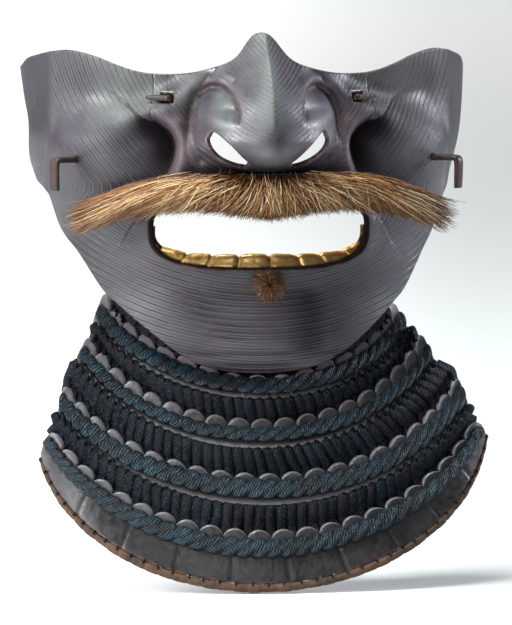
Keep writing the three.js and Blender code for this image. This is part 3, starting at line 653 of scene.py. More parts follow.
def face_point(x, z, nose=False):
    """The point of the mask's front seen at (x, z): the smooth body moved out by the relief."""
    y, out = body_at(x, z)
    a = off_middle(x, z)
    h = fold_relief(a, z) + (nose_relief(a, z) if nose else 0)
    return np.stack([x + out[..., 0] * h, y + out[..., 1] * h, z + 0 * x], -1)


# ------------------------------------------------------------------ the mask's plates
SEAM_X, NOSE_FOOT = 44.4, 23.6
half_nose = [(SEAM_X, 90), (SEAM_X, 45), (41, 40.8), (38.7, 37.2), (38.4, 33), (39.4, 28), (38.6, 25.2),
             (35, NOSE_FOOT)]
nostril = [(6.8, 28), (11.2, 28.4), (16.8, 31), (20.3, 35), (21.7, 40), (20, 41.8), (16.8, 39.8), (13.2, 36),
           (9.8, 31.6)]
SLOT_X, SLOT_Z, SLOT_WIDE, SLOT_TALL = 38.6, 54.2, 6.6, 4.4
HOOK_X, HOOK_Z, HOOK_HOLE, HOOK_TURN = 69.5, 28.5, 1.55, math.radians(53)


def both_sides(half):
    """A closed outline from its right half, mirrored, then moved aside with the nose."""
    half = np.array(half, float)
    return np.vstack([half, (half * [-1, 1])[::-1]]) + [NOSE_ASIDE, 0]


in_nose = inside_of(both_sides(half_nose))
in_nostril = inside_of(rounded(nostril, 3, closed=True)[:-1])


def face_cut(x, z):
    """Above 0 where the face plate is cut away: the nose plate, the mouth and the two hook holes."""
    hole = HOOK_HOLE - np.maximum(np.abs(np.abs(x) - HOOK_X) / math.cos(HOOK_TURN), np.abs(z - HOOK_Z))
    return np.maximum.reduce([in_nose(x, z) + 0.35, 22 * (1 - mouth_level(x, z)), hole])


def nose_cut(x, z):
    """Above 0 where the nose plate is cut away: outside its outline, the nostrils and the slots."""
    a = np.abs(x - NOSE_ASIDE)
    box = np.minimum(SLOT_WIDE / 2 - np.abs(a - SLOT_X), SLOT_TALL / 2 - np.abs(z - SLOT_Z))
    opening = np.maximum(in_nostril(a, z), in_nostril(a - 0.8, z + 1.5))
    return np.maximum.reduce([-in_nose(x, z), opening, box])


def face_spread(u, v):
    """(x, z) of the face plate: jaw edge at v 0, top edge at v 1, columns even round the face. Near its
    ends the plate is moved out in a long bow, and on the left in a short step as well."""
    high = WIDE * np.sin(math.asin(WING / WIDE) * (2 * u - 1))
    low = JAW_END / WING * high
    x, z = mix(low, high, v), mix(jaw_of(np.abs(low)), top_of(np.abs(high)), v)
    bow = 2.2 * np.sin(np.pi * np.clip((z - 11.4) / 52.6, 0, 1))
    step = 3.3 * fade(12.5, 18, z) * (1 - fade(24, 46, z)) * (x < 0)
    return x + np.sign(x) * (bow + step) * fade(60, 84, np.abs(x)), z


def nose_spread(u, v):
    """(x, z) of the nose plate: from just under its foot up to the top edge, rows closer at the foot."""
    x = 47 * (0.85 * (2 * u - 1) + 0.15 * (2 * u - 1) ** 3) + NOSE_ASIDE
    return x, mix(NOSE_FOOT - 1.2, top_of(np.abs(x)), 0.55 * v + 0.45 * v * v)


radius = np.arange(0, 220.0)
scores = np.cumsum(1 / mix(1.75, 2.6, fade(60, 135, radius)))


def score_at(x, z):
    """The number of the engraved line through a point: lines are rings about a high point, which parts
    into one for each side above the mouth, 1.7 mm apart on the nose and 2.6 mm at the chin."""
    a = off_middle(x, z)
    return np.interp(np.hypot(a + 25 * fade(0, 20, z), z - 97), radius, scores)


def bare_at(x, z):
    """1 where nothing is engraved: the rolled crest by the nose, the hollow over the nostril, the tip of
    the nose, the lip and the strip at the cheek's end."""
    a = off_middle(x, z)
    away, _, along = crest(a, z)
    roll = bell(away, 4.2) * (1 - fade(0.35, 0.7, along))
    hollow = 1 - fade(0.7, 0.95, lobe_level(a, z))
    ball = (1 - fade(6, 12, np.hypot(a, (z - 32) * 1.1))) * (z < 60)
    lip = bell(mouth_level(x, z) - 1, 0.1)
    strip = np.maximum(fade(80, 82.5, a) * fade(0, 20, z), 0.7 * fade(60, 74, a) * (1 - fade(40, 62, z)))
    return np.clip(np.maximum.reduce([roll, hollow, 0.8 * ball, lip, strip]) * 1.2, 0, 1)


def painted_shade_at(x, z, nose):
    """1 where shade is painted: painted shade in the cheek hollow outside the snarl fold, under the nose and
    along the mouth's edge, half as much as a painted dark reflection in a broad patch on the chin, and a thin
    painted dimming over the rest of the face plate, left off beside that patch as a painted highlight."""
    a = off_middle(x, z)
    gap, far, run = groove(a, z)
    cheek = bell(gap, np.where(far > 0, 9.5, 1.8)) * (1 - 0.85 * fade(0.5, 1, run)) * (1 - fade(46, 52, z))
    under = (1 - fade(25.5, 31, z)) * fade(20, 24, z) * bell(a, 26)
    chin = 0.5 * bell(x - 19, 10) * fade(-19, -27, z) * (1 - fade(-47, -50.5, z))
    mouth = 0.9 * fade(1.05, 1.015, mouth_level(x, z))
    # A thin painted dimming, left off left of the chin's middle as a painted highlight.
    dim_except_highlight = 0.24 * (1 - fade(-30, -10, x) * fade(20, 0, x) * fade(-20, -32, z))
    return np.clip(np.maximum(cheek, 0.9 * under if nose else np.maximum.reduce([chin, mouth, dim_except_highlight])), 0, 1)


def warm_at(x, z):
    """1 where handling has rubbed through to the red-brown undercoat: the snarl fold, the arch over the
    nostril and the lip."""
    a = off_middle(x, z)
    fold_side = bell(snarl(a, z)[0], 7) * fade(14, 24, z)
    arch = bell(lobe_level(a, z) - 1, 0.14) * fade(44, 54, z)
    return np.clip(np.maximum.reduce([fold_side, 0.9 * arch, 0.5 * bell(mouth_level(x, z) - 1, 0.1)]), 0, 1)


arc_of = through([40, 49, 57, 68], [45, 38.5, 36.6, 40])


def painted_highlight_at(x, z):
    """1 where a grey-green highlight is painted: on the upper cheek above its arched lower line, the keel of
    the nose, and the inner half of the hollow over the nostril, all stronger towards -X, where the key light
    falls. Four more painted highlights are round spots: the +X cheek, the chin's foot, the nose's tip and the
    -X crest."""
    a = off_middle(x, z)
    away, side, _ = crest(a, z)
    clear = np.where(side > 0, fade(1, 5, away), fade(4, 9, away))
    over = z - arc_of(a)
    cheek = clear * fade(38, 44, a) * (1 - fade(61, 71, a)) * fade(0, 3, over)
    cheek = cheek * mix(1, 0.6, fade(12, 20, over))
    keel = (bell(a, 3.5) + 0.5 * bell(a, 12) * (x < 1)) * fade(34, 60, z)
    lobe = (1 - fade(0.6, 1.0, lobe_level(a, z))) * fade(-4, 3, 19 - a) * fade(40, 46, z)
    # Painted highlight, stronger towards -X where the key light falls.
    side_highlight = np.clip(np.maximum.reduce([cheek, keel, 0.9 * lobe]), 0, 1) * mix(1, 0.45, fade(-4, 8, x))
    spots = [(1.0, 64, 32, 7, 6), (0.6, 18, -54.5, 8, 2.4), (0.55, 1, 32.5, 8, 4.5), (0.4, -29, 55, 6, 5)]
    spot_highlights = [most * bell(np.hypot((x - u) / wide, (z - v) / tall), 1.0) for most, u, v, wide, tall in spots]
    return np.maximum.reduce([side_highlight] + spot_highlights)


def snapped_grid(spread, cut, columns, rows):
    """An even grid (u, v). Points beside an opening's edge are moved along their row or column on to it,
    found by three steps of false position. kind is -1 in the plate, 0 on an edge and 1 beyond it."""
    u, v = np.meshgrid(np.linspace(0, 1, columns + 1), np.linspace(0, 1, rows + 1))
    level = cut(*spread(u, v))
    best, there = np.full(level.shape, 0.5001), np.zeros(level.shape)
    step = np.zeros(level.shape + (2,))
    for axis, ahead in ((1, 1), (1, -1), (0, 1), (0, -1)):
        beyond = np.roll(level, -ahead, axis)
        last = np.zeros(level.shape, bool)
        np.moveaxis(last, axis, 0)[-1 if ahead > 0 else 0] = True
        t = np.where((level * beyond < 0) & ~last, level / np.where(level == beyond, 1, level - beyond), 9)
        closer = t < best
        best, there = np.where(closer, t, best), np.where(closer, beyond, there)
        step[closer] = (ahead / columns, 0) if axis else (0, ahead / rows)
    snapped = best < 0.5
    low, high, at_low, at_high, t = 0 * best, 0 * best + 1, level, there, best
    for _ in range(3):
        here = cut(*spread(u + step[..., 0] * t, v + step[..., 1] * t))
        same = here * level > 0
        low, at_low = np.where(same, t, low), np.where(same, here, at_low)
        high, at_high = np.where(same, high, t), np.where(same, at_high, here)
        t = low + (high - low) * at_low / np.where(at_low == at_high, 1, at_low - at_high)
    t = np.where(snapped, np.clip(t, 0, 0.6), 0)
    return u + step[..., 0] * t, v + step[..., 1] * t, np.where(snapped, 0, np.sign(level))


def kept_triangles(kind, spots, level_in):
    """The triangles of a snapped grid that lie in the plate: a whole cell is split along its shorter
    diagonal, and a cell with a corner beyond an edge keeps the corners that are inside."""
    index = np.arange(kind.size).reshape(kind.shape)
    cell = np.stack([index[:-1, :-1], index[:-1, 1:], index[1:, 1:], index[1:, :-1]], -1).reshape(-1, 4)
    kinds = kind.ravel()[cell]
    beyond, inside = (kinds > 0).sum(1), (kinds < 0).sum(1)
    whole = cell[(beyond == 0) & ((inside > 0) | (level_in(cell) < 0))]
    span = lambda a, b: np.linalg.norm(spots[whole[:, a]] - spots[whole[:, b]], axis=1)
    first = (span(0, 2) <= span(1, 3))[:, None]
    faces = [np.where(first, whole[:, [0, 1, 2]], whole[:, [1, 2, 3]]),
             np.where(first, whole[:, [0, 2, 3]], whole[:, [1, 3, 0]])]
    for k in range(4):
        faces.append(cell[(kinds[:, k] < 0) & (beyond > 0)][:, [(k - 1) % 4, k, (k + 1) % 4]])
        spare = cell[(kinds[:, k] > 0) & (inside == 0) & (beyond == 1)]
        spare = spare[:, [(k + 1) % 4, (k + 2) % 4, (k + 3) % 4]]
        faces.append(spare[level_in(spare) < 0])
    return np.concatenate(faces)


def round_rim(spots, back, outward, faces):
    """A half-round rim from each open edge of the faces to the back: the points on an edge, the rings of
    new points between, which stand proud, and the strips of quads that join them."""
    count = len(spots)
    a, b = faces.ravel(), np.roll(faces, -1, axis=1).ravel()
    lone = ~np.isin(a * count + b, b * count + a)
    a, b = a[lone], b[lone]
    aim, beyond = np.cross(unit(spots[b] - spots[a]), outward[a]), np.zeros((count, 3))
    np.add.at(beyond, a, aim)
    np.add.at(beyond, b, aim)
    edge, place = np.unique(np.concatenate([a, b]), return_inverse=True)
    a_at, b_at = place[: len(a)], place[len(a) :]
    proud = RIM_PROUD * unit(beyond[edge])
    turns = np.pi * np.arange(1, RIM_STEPS) / RIM_STEPS
    layers = [mix(spots[edge], back[edge], (1 - math.cos(t)) / 2) + proud * math.sin(t) for t in turns]
    new = 2 * count + np.arange(len(layers) * len(edge)).reshape(len(layers), -1)
    rings = [edge, *new, edge + count]
    strips = [np.stack([r[b_at], r[a_at], s[a_at], s[b_at]], 1) for r, s in zip(rings, rings[1:])]
    return edge, np.concatenate(layers), np.concatenate(strips)


def trimmed_plate(name, spread, cut, columns, rows, nose, stands_for):
    """A curved plate with its openings cut out: a front of kept triangles, the same faces one thickness
    behind along the smoothed normals, and a half-round rim between. It carries the lacquer's marks."""
    u, v, kind = snapped_grid(spread, cut, columns, rows)
    x, z = spread(u, v)
    front = face_point(x, z, nose)
    tangent = lambda dx, dz: face_point(x + dx, z + dz, nose) - face_point(x - dx, z - dz, nose)
    outward = unit(blurred(unit(np.cross(tangent(0.25, 0), tangent(0, 0.25))), 3))
    # Convex against concave, used for painted shade in creases and a painted highlight on crests.
    crease_shade_crest_highlight = np.clip(((front - blurred(front, 10)) * outward).sum(-1) / 0.35, -1, 1)
    spots = front.reshape(-1, 3)
    level_in = lambda cells: cut(*spread(u.ravel()[cells].mean(1), v.ravel()[cells].mean(1)))
    used, faces = np.unique(kept_triangles(kind, spots, level_in), return_inverse=True)
    faces = faces.reshape(-1, 3)
    spots, outward = spots[used], outward.reshape(-1, 3)[used]
    back = spots - outward * PLATE
    edge, layers, rim = round_rim(spots, back, outward, faces)
    source = np.concatenate([used, used] + [used[edge]] * (RIM_STEPS - 1))
    at = lambda values: values.ravel()[source]
    ends = (1 - np.abs(2 * u - 1)) * 120 + 20 * nose
    near = at(np.minimum.reduce([-cut(x, z), (1 - v) * 60, v * 60 + 20 * nose, ends]))
    near[2 * len(used) :] = 0
    # Marks for the lacquer, among them painted shade and painted highlights.
    wear_and_painted_light = {"score": score_at(front[..., 0], z), "bare": bare_at(x, z), "crease_shade_crest_highlight": crease_shade_crest_highlight,
            "painted_shade": painted_shade_at(x, z, nose), "warm": warm_at(x, z), "painted_highlight": painted_highlight_at(x, z)}
    marks = {key: at(values) for key, values in wear_and_painted_light.items()} | {"rim": near}
    inner = np.repeat([0, 1, 0], [len(faces), len(faces), len(rim)])
    faces = [np.concatenate([faces, faces[:, ::-1] + len(used)]), rim]
    points = np.concatenate([spots, back, layers])
    piece(name, points, faces, [URUSHI, RED], stands_for, marks, inner=inner)


trimmed_plate("engraved_face", face_spread, face_cut, 326, 158, False, ["face_plate"])
trimmed_plate("engraved_nose", nose_spread, nose_cut, 150, 100, True, ["nose_plate"])

# ------------------------------------------------------------------ the throat guard
# Each edge is part of an ellipse in a tilted plane, as in the part: half-width, rise and run of a
# quarter turn, y and z of its middle, shift to +X, tilt per mm, and the angle to its ends in degrees.
EDGE = ("half", "rise", "back", "y", "z", "aside", "tilt", "span")
HEAD_RADIUS, HEAD_HALF, JOINT_GAP, STITCH_GAP = 5.5, 4.9, 23, 6
CORD_GAP, CORD_SIDES, ROPE_PITCH, ROPE_SIDES, ROPE_STEP = 4.2, 14, 5.9, 22, 0.36
lames = [
    {"top": (62.5, 37, 40, -38, -58.3, -1, -0.04, 76),
     "low": (68.5, 41.5, 41, -45, -68, -1.5, -0.03, 71), "heads": 17, "rope": (0.08, 0.68)},
    {"top": (74.1, 54, 41.6, -46.5, -75.4, -0.2, 0, 67.6),
     "low": (82, 60, 44, -55, -87.4, -1, -0.01, 64), "heads": 19, "rope": (0.28, 0.70)},
    {"top": (89.5, 64.5, 45.8, -57.5, -96.4, 1.2, 0.01, 64.3),
     "low": (97, 72, 48, -65, -109.1, 1.2, 0.01, 60), "heads": 21, "rope": (0.18, 0.73)},
    {"top": (97.4, 76.1, 49.8, -68.2, -118.2, 1, 0.01, 61.5),
     "low": (92.5, 62.5, 52, -77.5, -139, 2, 0.04, 80), "heads": 22, "rope": (0.15, 0.48)},
]
for tier in lames:
    tier["top"], tier["low"] = (dict(zip(EDGE, tier[edge])) for edge in ("top", "low"))
    tier["tall"] = tier["top"]["z"] - tier["low"]["z"]


def tier_point(tier, t, q, off=0.0):
    """A point of a lame: t from -1 to 1 across, q from 0 at its top edge to 1 at its low edge, off mm out."""
    at = {key: mix(tier["top"][key], tier["low"][key], q) for key in EDGE}
    turn = np.radians(at["span"] * t)
    lean = 1 - np.cos(turn)
    out = unit(np.stack([np.sin(turn) / at["half"], -np.cos(turn) / at["back"]], -1))
    across = at["half"] * np.sin(turn)
    return np.stack([
        at["aside"] + across + out[..., 0] * off,
        at["y"] + at["back"] * lean + out[..., 1] * off,
        at["z"] + at["rise"] * lean + at["tilt"] * across + 0 * off,
    ], -1)


def run_of(tier, t, q):
    """Distance in mm along a lame at height q, from its middle, for each t of an even row."""
    points = tier_point(tier, t, q)
    run = np.r_[0, np.cumsum(np.linalg.norm(np.diff(points, axis=0), axis=1))]
    return run - run[len(run) // 2]


def length_of(tier, reach, q):
    """Length in mm of a lame at height q, from -reach to reach across."""
    return 2 * abs(run_of(tier, np.linspace(-reach, reach, 401), q)[0])


def scale_row(number, tier):
    """A row of scales fused into one plate. Its section is a flat bar with round edges; its top edge is
    a row of half-round heads, each a little domed, with a notch between two. The lowest row has shallow
    upright joints as well."""
    t = np.linspace(-1, 1, tier["heads"] * 14 + 1)
    u = (t + 1) / 2 * tier["heads"]
    f = u % 1.0
    size = 1 + 0.18 * np.sin(np.floor(u) * 2.4)
    down = HEAD_RADIUS - np.sqrt(HEAD_RADIUS**2 - (HEAD_HALF * (2 * f - 1)) ** 2) - 0.25 * (size - 1)
    down = (down - (2.6 * fade(0.1, 0.4, np.abs(t)) if number == 1 else 0))[:, None]
    cleft = bell(np.minimum(f, 1 - f), 0.035)[:, None]
    # A ring goes down the front from the top edge, round the low edge, and up the back.
    under_top = np.array([0.0, 0.1, 0.45, 1.0, 2.0, 3.2, 4.6, 6.0])
    over_low = np.array([3.0, 1.2, 0.5, 0.12, 0.0, 0.12, 0.6, 2.0])
    behind_top = np.array([6.0, 2.0, 0.6, 0.12])
    tall = tier["tall"]
    low_part = 1 - over_low / tall + 0 * down
    q = np.concatenate([(down + under_top) / tall, low_part, (down + behind_top) / tall], 1)
    dome = (0.3 * np.sqrt(np.maximum(0, 1 - (2 * f - 1) ** 2)))[:, None] - 0.35 * cleft
    off_top = np.array([-0.9, -0.42, -0.1, 0, 0, 0, 0, 0]) + dome * (1 - fade(2.5, 6, under_top))
    off_low = np.array([0, 0, 0, -0.25, -0.9, -1.5] + [-LAME] * 5 + [-1.45])
    off = np.concatenate([off_top, off_low + 0 * down], 1)
    lowest = number == 4
    joint = bell((run_of(tier, t, 0.8)[:, None] + 6) % JOINT_GAP - JOINT_GAP / 2, 0.8) * (q > 0.5) * lowest
    off[:, 8:12] -= 0.6 * joint[:, 8:12]
    depth = q * tall - down
    worn = np.maximum(0.7 * fade(0.985, 1.0, np.abs(t))[:, None], 0.5 * (q > 0.97) * lowest)
    # The lip mark is a painted highlight: a line along the heads' top edge, heads lighter towards -X where
    # the key light falls and over the first row's heads, the strip under each braid, and the -X end of the
    # lowest plate.
    rubbed = mix(0.55 * fade(-0.05, -0.6, t), 0.9, number == 1)[:, None] * (1 - fade(2.6, 4.2, depth))
    lip = np.maximum.reduce([
        np.maximum(0.8 * bell(depth - 0.2, 0.4), rubbed) * (1 - cleft),
        0.75 * fade(0.7, 0.95, q) * (not lowest),
        0.35 * fade(-0.3, -0.75, t)[:, None] * fade(0.5, 0.6, q) * lowest,
    ])
    points, faces, _ = skins(tier_point(tier, t[:, None], q, off)[None])
    piece("scales_%d" % number, points, faces, [SCALE], ["lame_%d" % number],
          {"notch": np.maximum(cleft * (depth < 4), joint), "worn": worn, "lip": lip})


def rope(number, tier):
    """The thick braid over a lame: an oval section whose radius swells and shrinks in lobes that lean up
    to the right, closed by a rounded end at each side."""
    low, high = tier["rope"]
    middle, half = mix(low, high, 0.5), (high - low) / 2 * tier["tall"]
    t = np.linspace(-0.985, 0.985, int(length_of(tier, 1, 0.5) / ROPE_STEP))
    run = run_of(tier, t, middle)
    turn = 2 * np.pi * np.arange(ROPE_SIDES) / ROPE_SIDES - np.pi / 2
    end = (np.sqrt(1 - (1 - np.clip((run[-1] - np.abs(run)) / 2.2, 0, 1)) ** 2) + 0.02)[:, None]
    pitch = ROPE_PITCH * (1 + 0.06 * np.sin(run / 23 + number))
    high_at = np.sin(turn) * half
    wave = (run[:, None] - high_at * 1.05) / pitch[:, None]
    lobe = np.sqrt(1 - (2 * (wave % 1) - 1) ** 2)
    swell = 0.62 + 0.46 * lobe + 0.05 * (np.sin(run / 3.1 + number) * np.cos(run / 7.7))[:, None]
    wander = 0.25 * np.sin(run / 17 + 2 * number) + 0.12 * np.sin(run / 5.3)
    q = middle + (wander[:, None] - high_at * swell * end) / tier["tall"]
    off = 1.3 + np.cos(turn) * 1.45 * swell * end
    rings = tier_point(tier, t[:, None], q, off)[None]
    points, faces, corners = skins(rings, run[None], np.r_[turn, turn[0] + 2 * np.pi] * half * 0.8)
    shade = 0.5 * np.sin(np.floor(wave) * 12.9898) ** 2
    # The valley mark is painted shade between the braid's lobes.
    piece("silk_rope_%d" % number, points, faces, [BLUE_SILK], ["braid_%d" % number],
          {"valley": 1 - fade(0.25, 0.8, lobe), "shade": shade}, corners)


def behind_jaw(t, clear):
    """Points 3 mm over the mask's jaw edge and clear mm behind its front, where the first cords are tied."""
    x = 61.5 * np.sin(t * 1.32)
    z = jaw_of(np.abs(x))
    p = face_point(x, z)
    return np.concatenate([p[..., :2] - clear * body_at(x, z)[1], p[..., 2:] + 3], -1)


def cord_row(above, tier, cords, reach, deep):
    """Rings for one row of flat cords: each comes over the low edge of the lame above, hangs, and goes
    down behind the heads of the next. deep moves a row back, behind another."""
    t = np.linspace(-reach, reach, cords) + chance.normal(0, 0.002, cords)
    lean = chance.normal(0, 0.003, cords)
    wide = (2.2 if deep == 0 else 2.9) + chance.normal(0, 0.12, cords)
    thick = 0.95 + chance.normal(0, 0.08, cords)
    lift = chance.normal(0, 0.3, cords)
    hide = -LAME - 1.1 - deep
    if above is None:
        first = behind_jaw(t, PLATE + 1.7 + deep)
        stations = [first, mix(first, tier_point(tier, t, -0.1, hide), 0.5)]
    else:
        hanging = mix(tier_point(above, t, 1.04, -deep), tier_point(tier, t, -0.04, hide), 0.5)
        stations = [
            tier_point(above, t, 0.965 + 0.012 * lift, 0.3 - deep),
            tier_point(above, t, 1.04, 0.1 + 0.25 * lift - deep),
            hanging + np.stack([0 * t, -0.5 - 0.3 * lift, 0 * t], -1),
        ]
    stations += [
        tier_point(tier, t + lean, -0.02, hide + 0.15 * lift),
        tier_point(tier, t + lean, 0.16, hide),
        tier_point(tier, t + lean, 0.32, hide),
    ]
    path = np.stack([rounded(p, 4) for p in np.stack(stations, 1)])
    n = path.shape[1]
    out = unit(tier_point(tier, t, 0.1, 1.0) - tier_point(tier, t, 0.1))[:, None]
    tip = np.sqrt(np.clip(np.linspace(0, 5, n), 0.04, 1)) if above is not None else np.ones(n)
    slack = 1 + 0.06 * np.sin(np.linspace(0, 5, n)[None] + 9 * lift[:, None])
    across = (wide[:, None] * (0.4 + 0.6 * tip) * slack)[..., None]
    rings = tube(path, out, across, (thick[:, None] * tip)[..., None], CORD_SIDES, 2.3)
    run = np.linalg.norm(np.diff(path, axis=1), axis=2).cumsum(1)
    return rings, np.concatenate([np.zeros((cords, 1)), run], 1)


def lacing(number, above, tier):
    """The upright silk cords of one gap, with a second row behind that fills it. The valley mark, painted
    shade, lies on a cord's two edges and on all of the second row."""
    cords = int(length_of(tier, 1.02, 0) / CORD_GAP)
    reach = 0.93 if above is None else (0.985, 1.0, 1.015)[number - 2]
    front = cord_row(above, tier, cords, reach, 0.0)
    behind = cord_row(above, tier, cords - 1, reach - reach / cords, 1.0)
    rings, run = (np.concatenate(pair) for pair in zip(front, behind))
    k, n = rings.shape[:2]
    points, faces, corners = skins(rings, run, np.arange(CORD_SIDES + 1) * 0.72)
    shade = np.repeat(chance.uniform(0, 1, k) ** 2, n * CORD_SIDES)
    # Painted shade on each cord's two edges, less beside them, and over the row behind.
    valley = np.zeros((k, n, CORD_SIDES))
    valley[:, :, [0, 7]] = 1.0
    valley[:, :, [1, 6, 8, 13]] = 0.45
    valley[cords:] = 0.8
    piece("silk_lacing_%d" % number, points, faces, [DARK_SILK], ["lacing_%d" % number],
          {"valley": valley, "shade": shade}, corners[:, ::-1])


for number, tier in enumerate(lames, 1):
    scale_row(number, tier)
    rope(number, tier)
    lacing(number, lames[number - 2] if number > 1 else None, tier)


def leather_hem(tier):
    """The binding of the lowest edge: a flat oval bar just under it, uneven in width, with a row of small
    stitches along its top."""
    t = np.linspace(-1, 1, 360)
    run = run_of(tier, t, 1.0)
    c, s = oval(16, 2.6)
    uneven = 1 + 0.07 * np.sin(run / 9.0) * np.sin(run / 4.1 + 1) + 0.05 * np.sin(run / 2.3)
    uneven = (uneven * (1 - 0.12 * bell((run + 3) % STITCH_GAP - 3, 0.7)))[:, None]
    q = 1 + (1.6 - s * 1.65 * uneven) / tier["tall"]
    off = c * LAME * uneven - LAME / 2
    points, faces, _ = skins(tier_point(tier, t[:, None], q, off)[None])
    piece("leather_binding", points, faces, [LEATHER], ["hem_binding"])

    count = int((run[-1] - run[0]) / STITCH_GAP)
    spots = np.linspace(-0.985, 0.985, count) + chance.normal(0, 0.002, count)
    stations = ((-0.7, 0.1), (-0.1, 0.75), (0.9, 1.0))
    ends = [tier_point(tier, spots, 1 + d / tier["tall"], off) for d, off in stations]
    path = np.stack([rounded(p, 3) for p in np.stack(ends, 1)])
    thick = (0.42 * np.sin(np.linspace(0.25, np.pi - 0.25, path.shape[1])))[None, :, None]
    points, faces, corners = skins(tube(path, np.array([0, -1.0, 0]), thick, thick, 6))
    plain = {"valley": np.zeros(len(points)), "shade": np.zeros(len(points))}
    piece("hem_stitches", points, faces, [DARK_SILK], [], plain, corners * 0.3)


leather_hem(lames[-1])

# ------------------------------------------------------------------ teeth
tooth_edges = np.array([-41.0, -32.7, -22.1, -10.2, 3.6, 16.6, 26.8, 37.0, 42.0])


def gilded_teeth():
    """The lower teeth, a strip behind the lower lip and up into the corners: each tooth is a rounded
    tablet, domed across and worn round at its top, with a narrow valley between two."""
    columns, rows = 260, 12
    a = np.pi * mix(0.99, 2.01, np.linspace(0, 1, columns + 1))
    across, down = np.cos(a) * MOUTH_HALF, np.sin(a) * MOUTH_DOWN
    level = mouth_level(across, MOUTH_Z + down)
    lip_x, lip_z = across / level, MOUTH_Z + down / level
    i = np.clip(np.searchsorted(tooth_edges, lip_x, side="right") - 1, 0, len(tooth_edges) - 2)
    f = np.clip((lip_x - tooth_edges[i]) / (tooth_edges[i + 1] - tooth_edges[i]), 0, 1)
    round_top = ((1 - np.abs(2 * f - 1) ** 4) ** 0.5)[:, None]
    tall = mix(1.6, 6, fade(0.2, 0.9, -np.sin(a)))[:, None]
    v = np.concatenate([np.linspace(0, 1, rows), np.linspace(1, 0, rows)])
    inset = mix(-3, mix(0.72, 1.0, round_top) * tall, v)
    x = lip_x[:, None] - np.cos(a)[:, None] * inset
    z = lip_z[:, None] - np.sin(a)[:, None] * inset
    lip_y = face_point(lip_x, lip_z)[:, 1:2]
    wall = np.maximum(lip_y, face_point(x, z)[..., 1]) + PLATE + 2.5
    worn = np.sqrt(np.clip((1 - v) * 4, 0.0, 1))
    bulge = 1.1 * round_top * np.sin(np.pi * np.clip(v * 0.9 + 0.1, 0, 1)) ** 0.5
    y = wall + np.where(np.arange(2 * rows) < rows, -0.9 * worn - bulge, 0.8 * worn)
    points, faces, _ = skins(np.stack([x, y, z], -1)[None])
    # Painted shade along the gum, where the teeth go behind the lip, and in the valleys between teeth.
    gum = 1 - fade(0.1, 0.42, inset / 6 + 0.08)
    valley = np.maximum((1 - round_top) ** 1.5, gum)
    piece("gilded_teeth", points, faces, [GOLD], ["teeth"], {"valley": valley})


gilded_teeth()

# ------------------------------------------------------------------ hair
HAIRS, LOCK, TUFT_HAIRS, TUFT_RADIUS = 4200, 16, 1300, 7.8
BUNCH_X = [0, 24, 45, 62, 73, 80.5]
bunch_y = through(BUNCH_X, [-54.5, -52.5, -45.5, -38, -31.5, -27])
bunch_z = through(BUNCH_X, [14.8, 16.2, 15.0, 10.8, 7.0, 4.6])
bunch_tall = through(BUNCH_X, [9, 8.2, 7.6, 7.3, 7.0, 6.6])
bunch_thick = through(BUNCH_X, [5, 4.6, 4.2, 3.6, 2.6, 1.6])


def strands(name, path, thick, shade, stands_for):
    """Tapered three-sided hairs along paths (k, n, 3), each with its own shade and its length marked
    from root to tip."""
    k, n = path.shape[:2]
    taper = (thick[:, None] * mix(1.0, 0.3, np.linspace(0, 1, n) ** 1.6))[..., None]
    points, faces, _ = skins(tube(path, unit(chance.normal(0, 1, (k, 1, 3))), taper, taper, 3))
    shade = np.repeat(np.clip(shade, 0, 1), n * 3)
    along = np.tile(np.repeat(np.linspace(0, 1, n), 3), k)
    piece(name, points, faces, [HAIR], stands_for, {"shade": shade, "along": along})


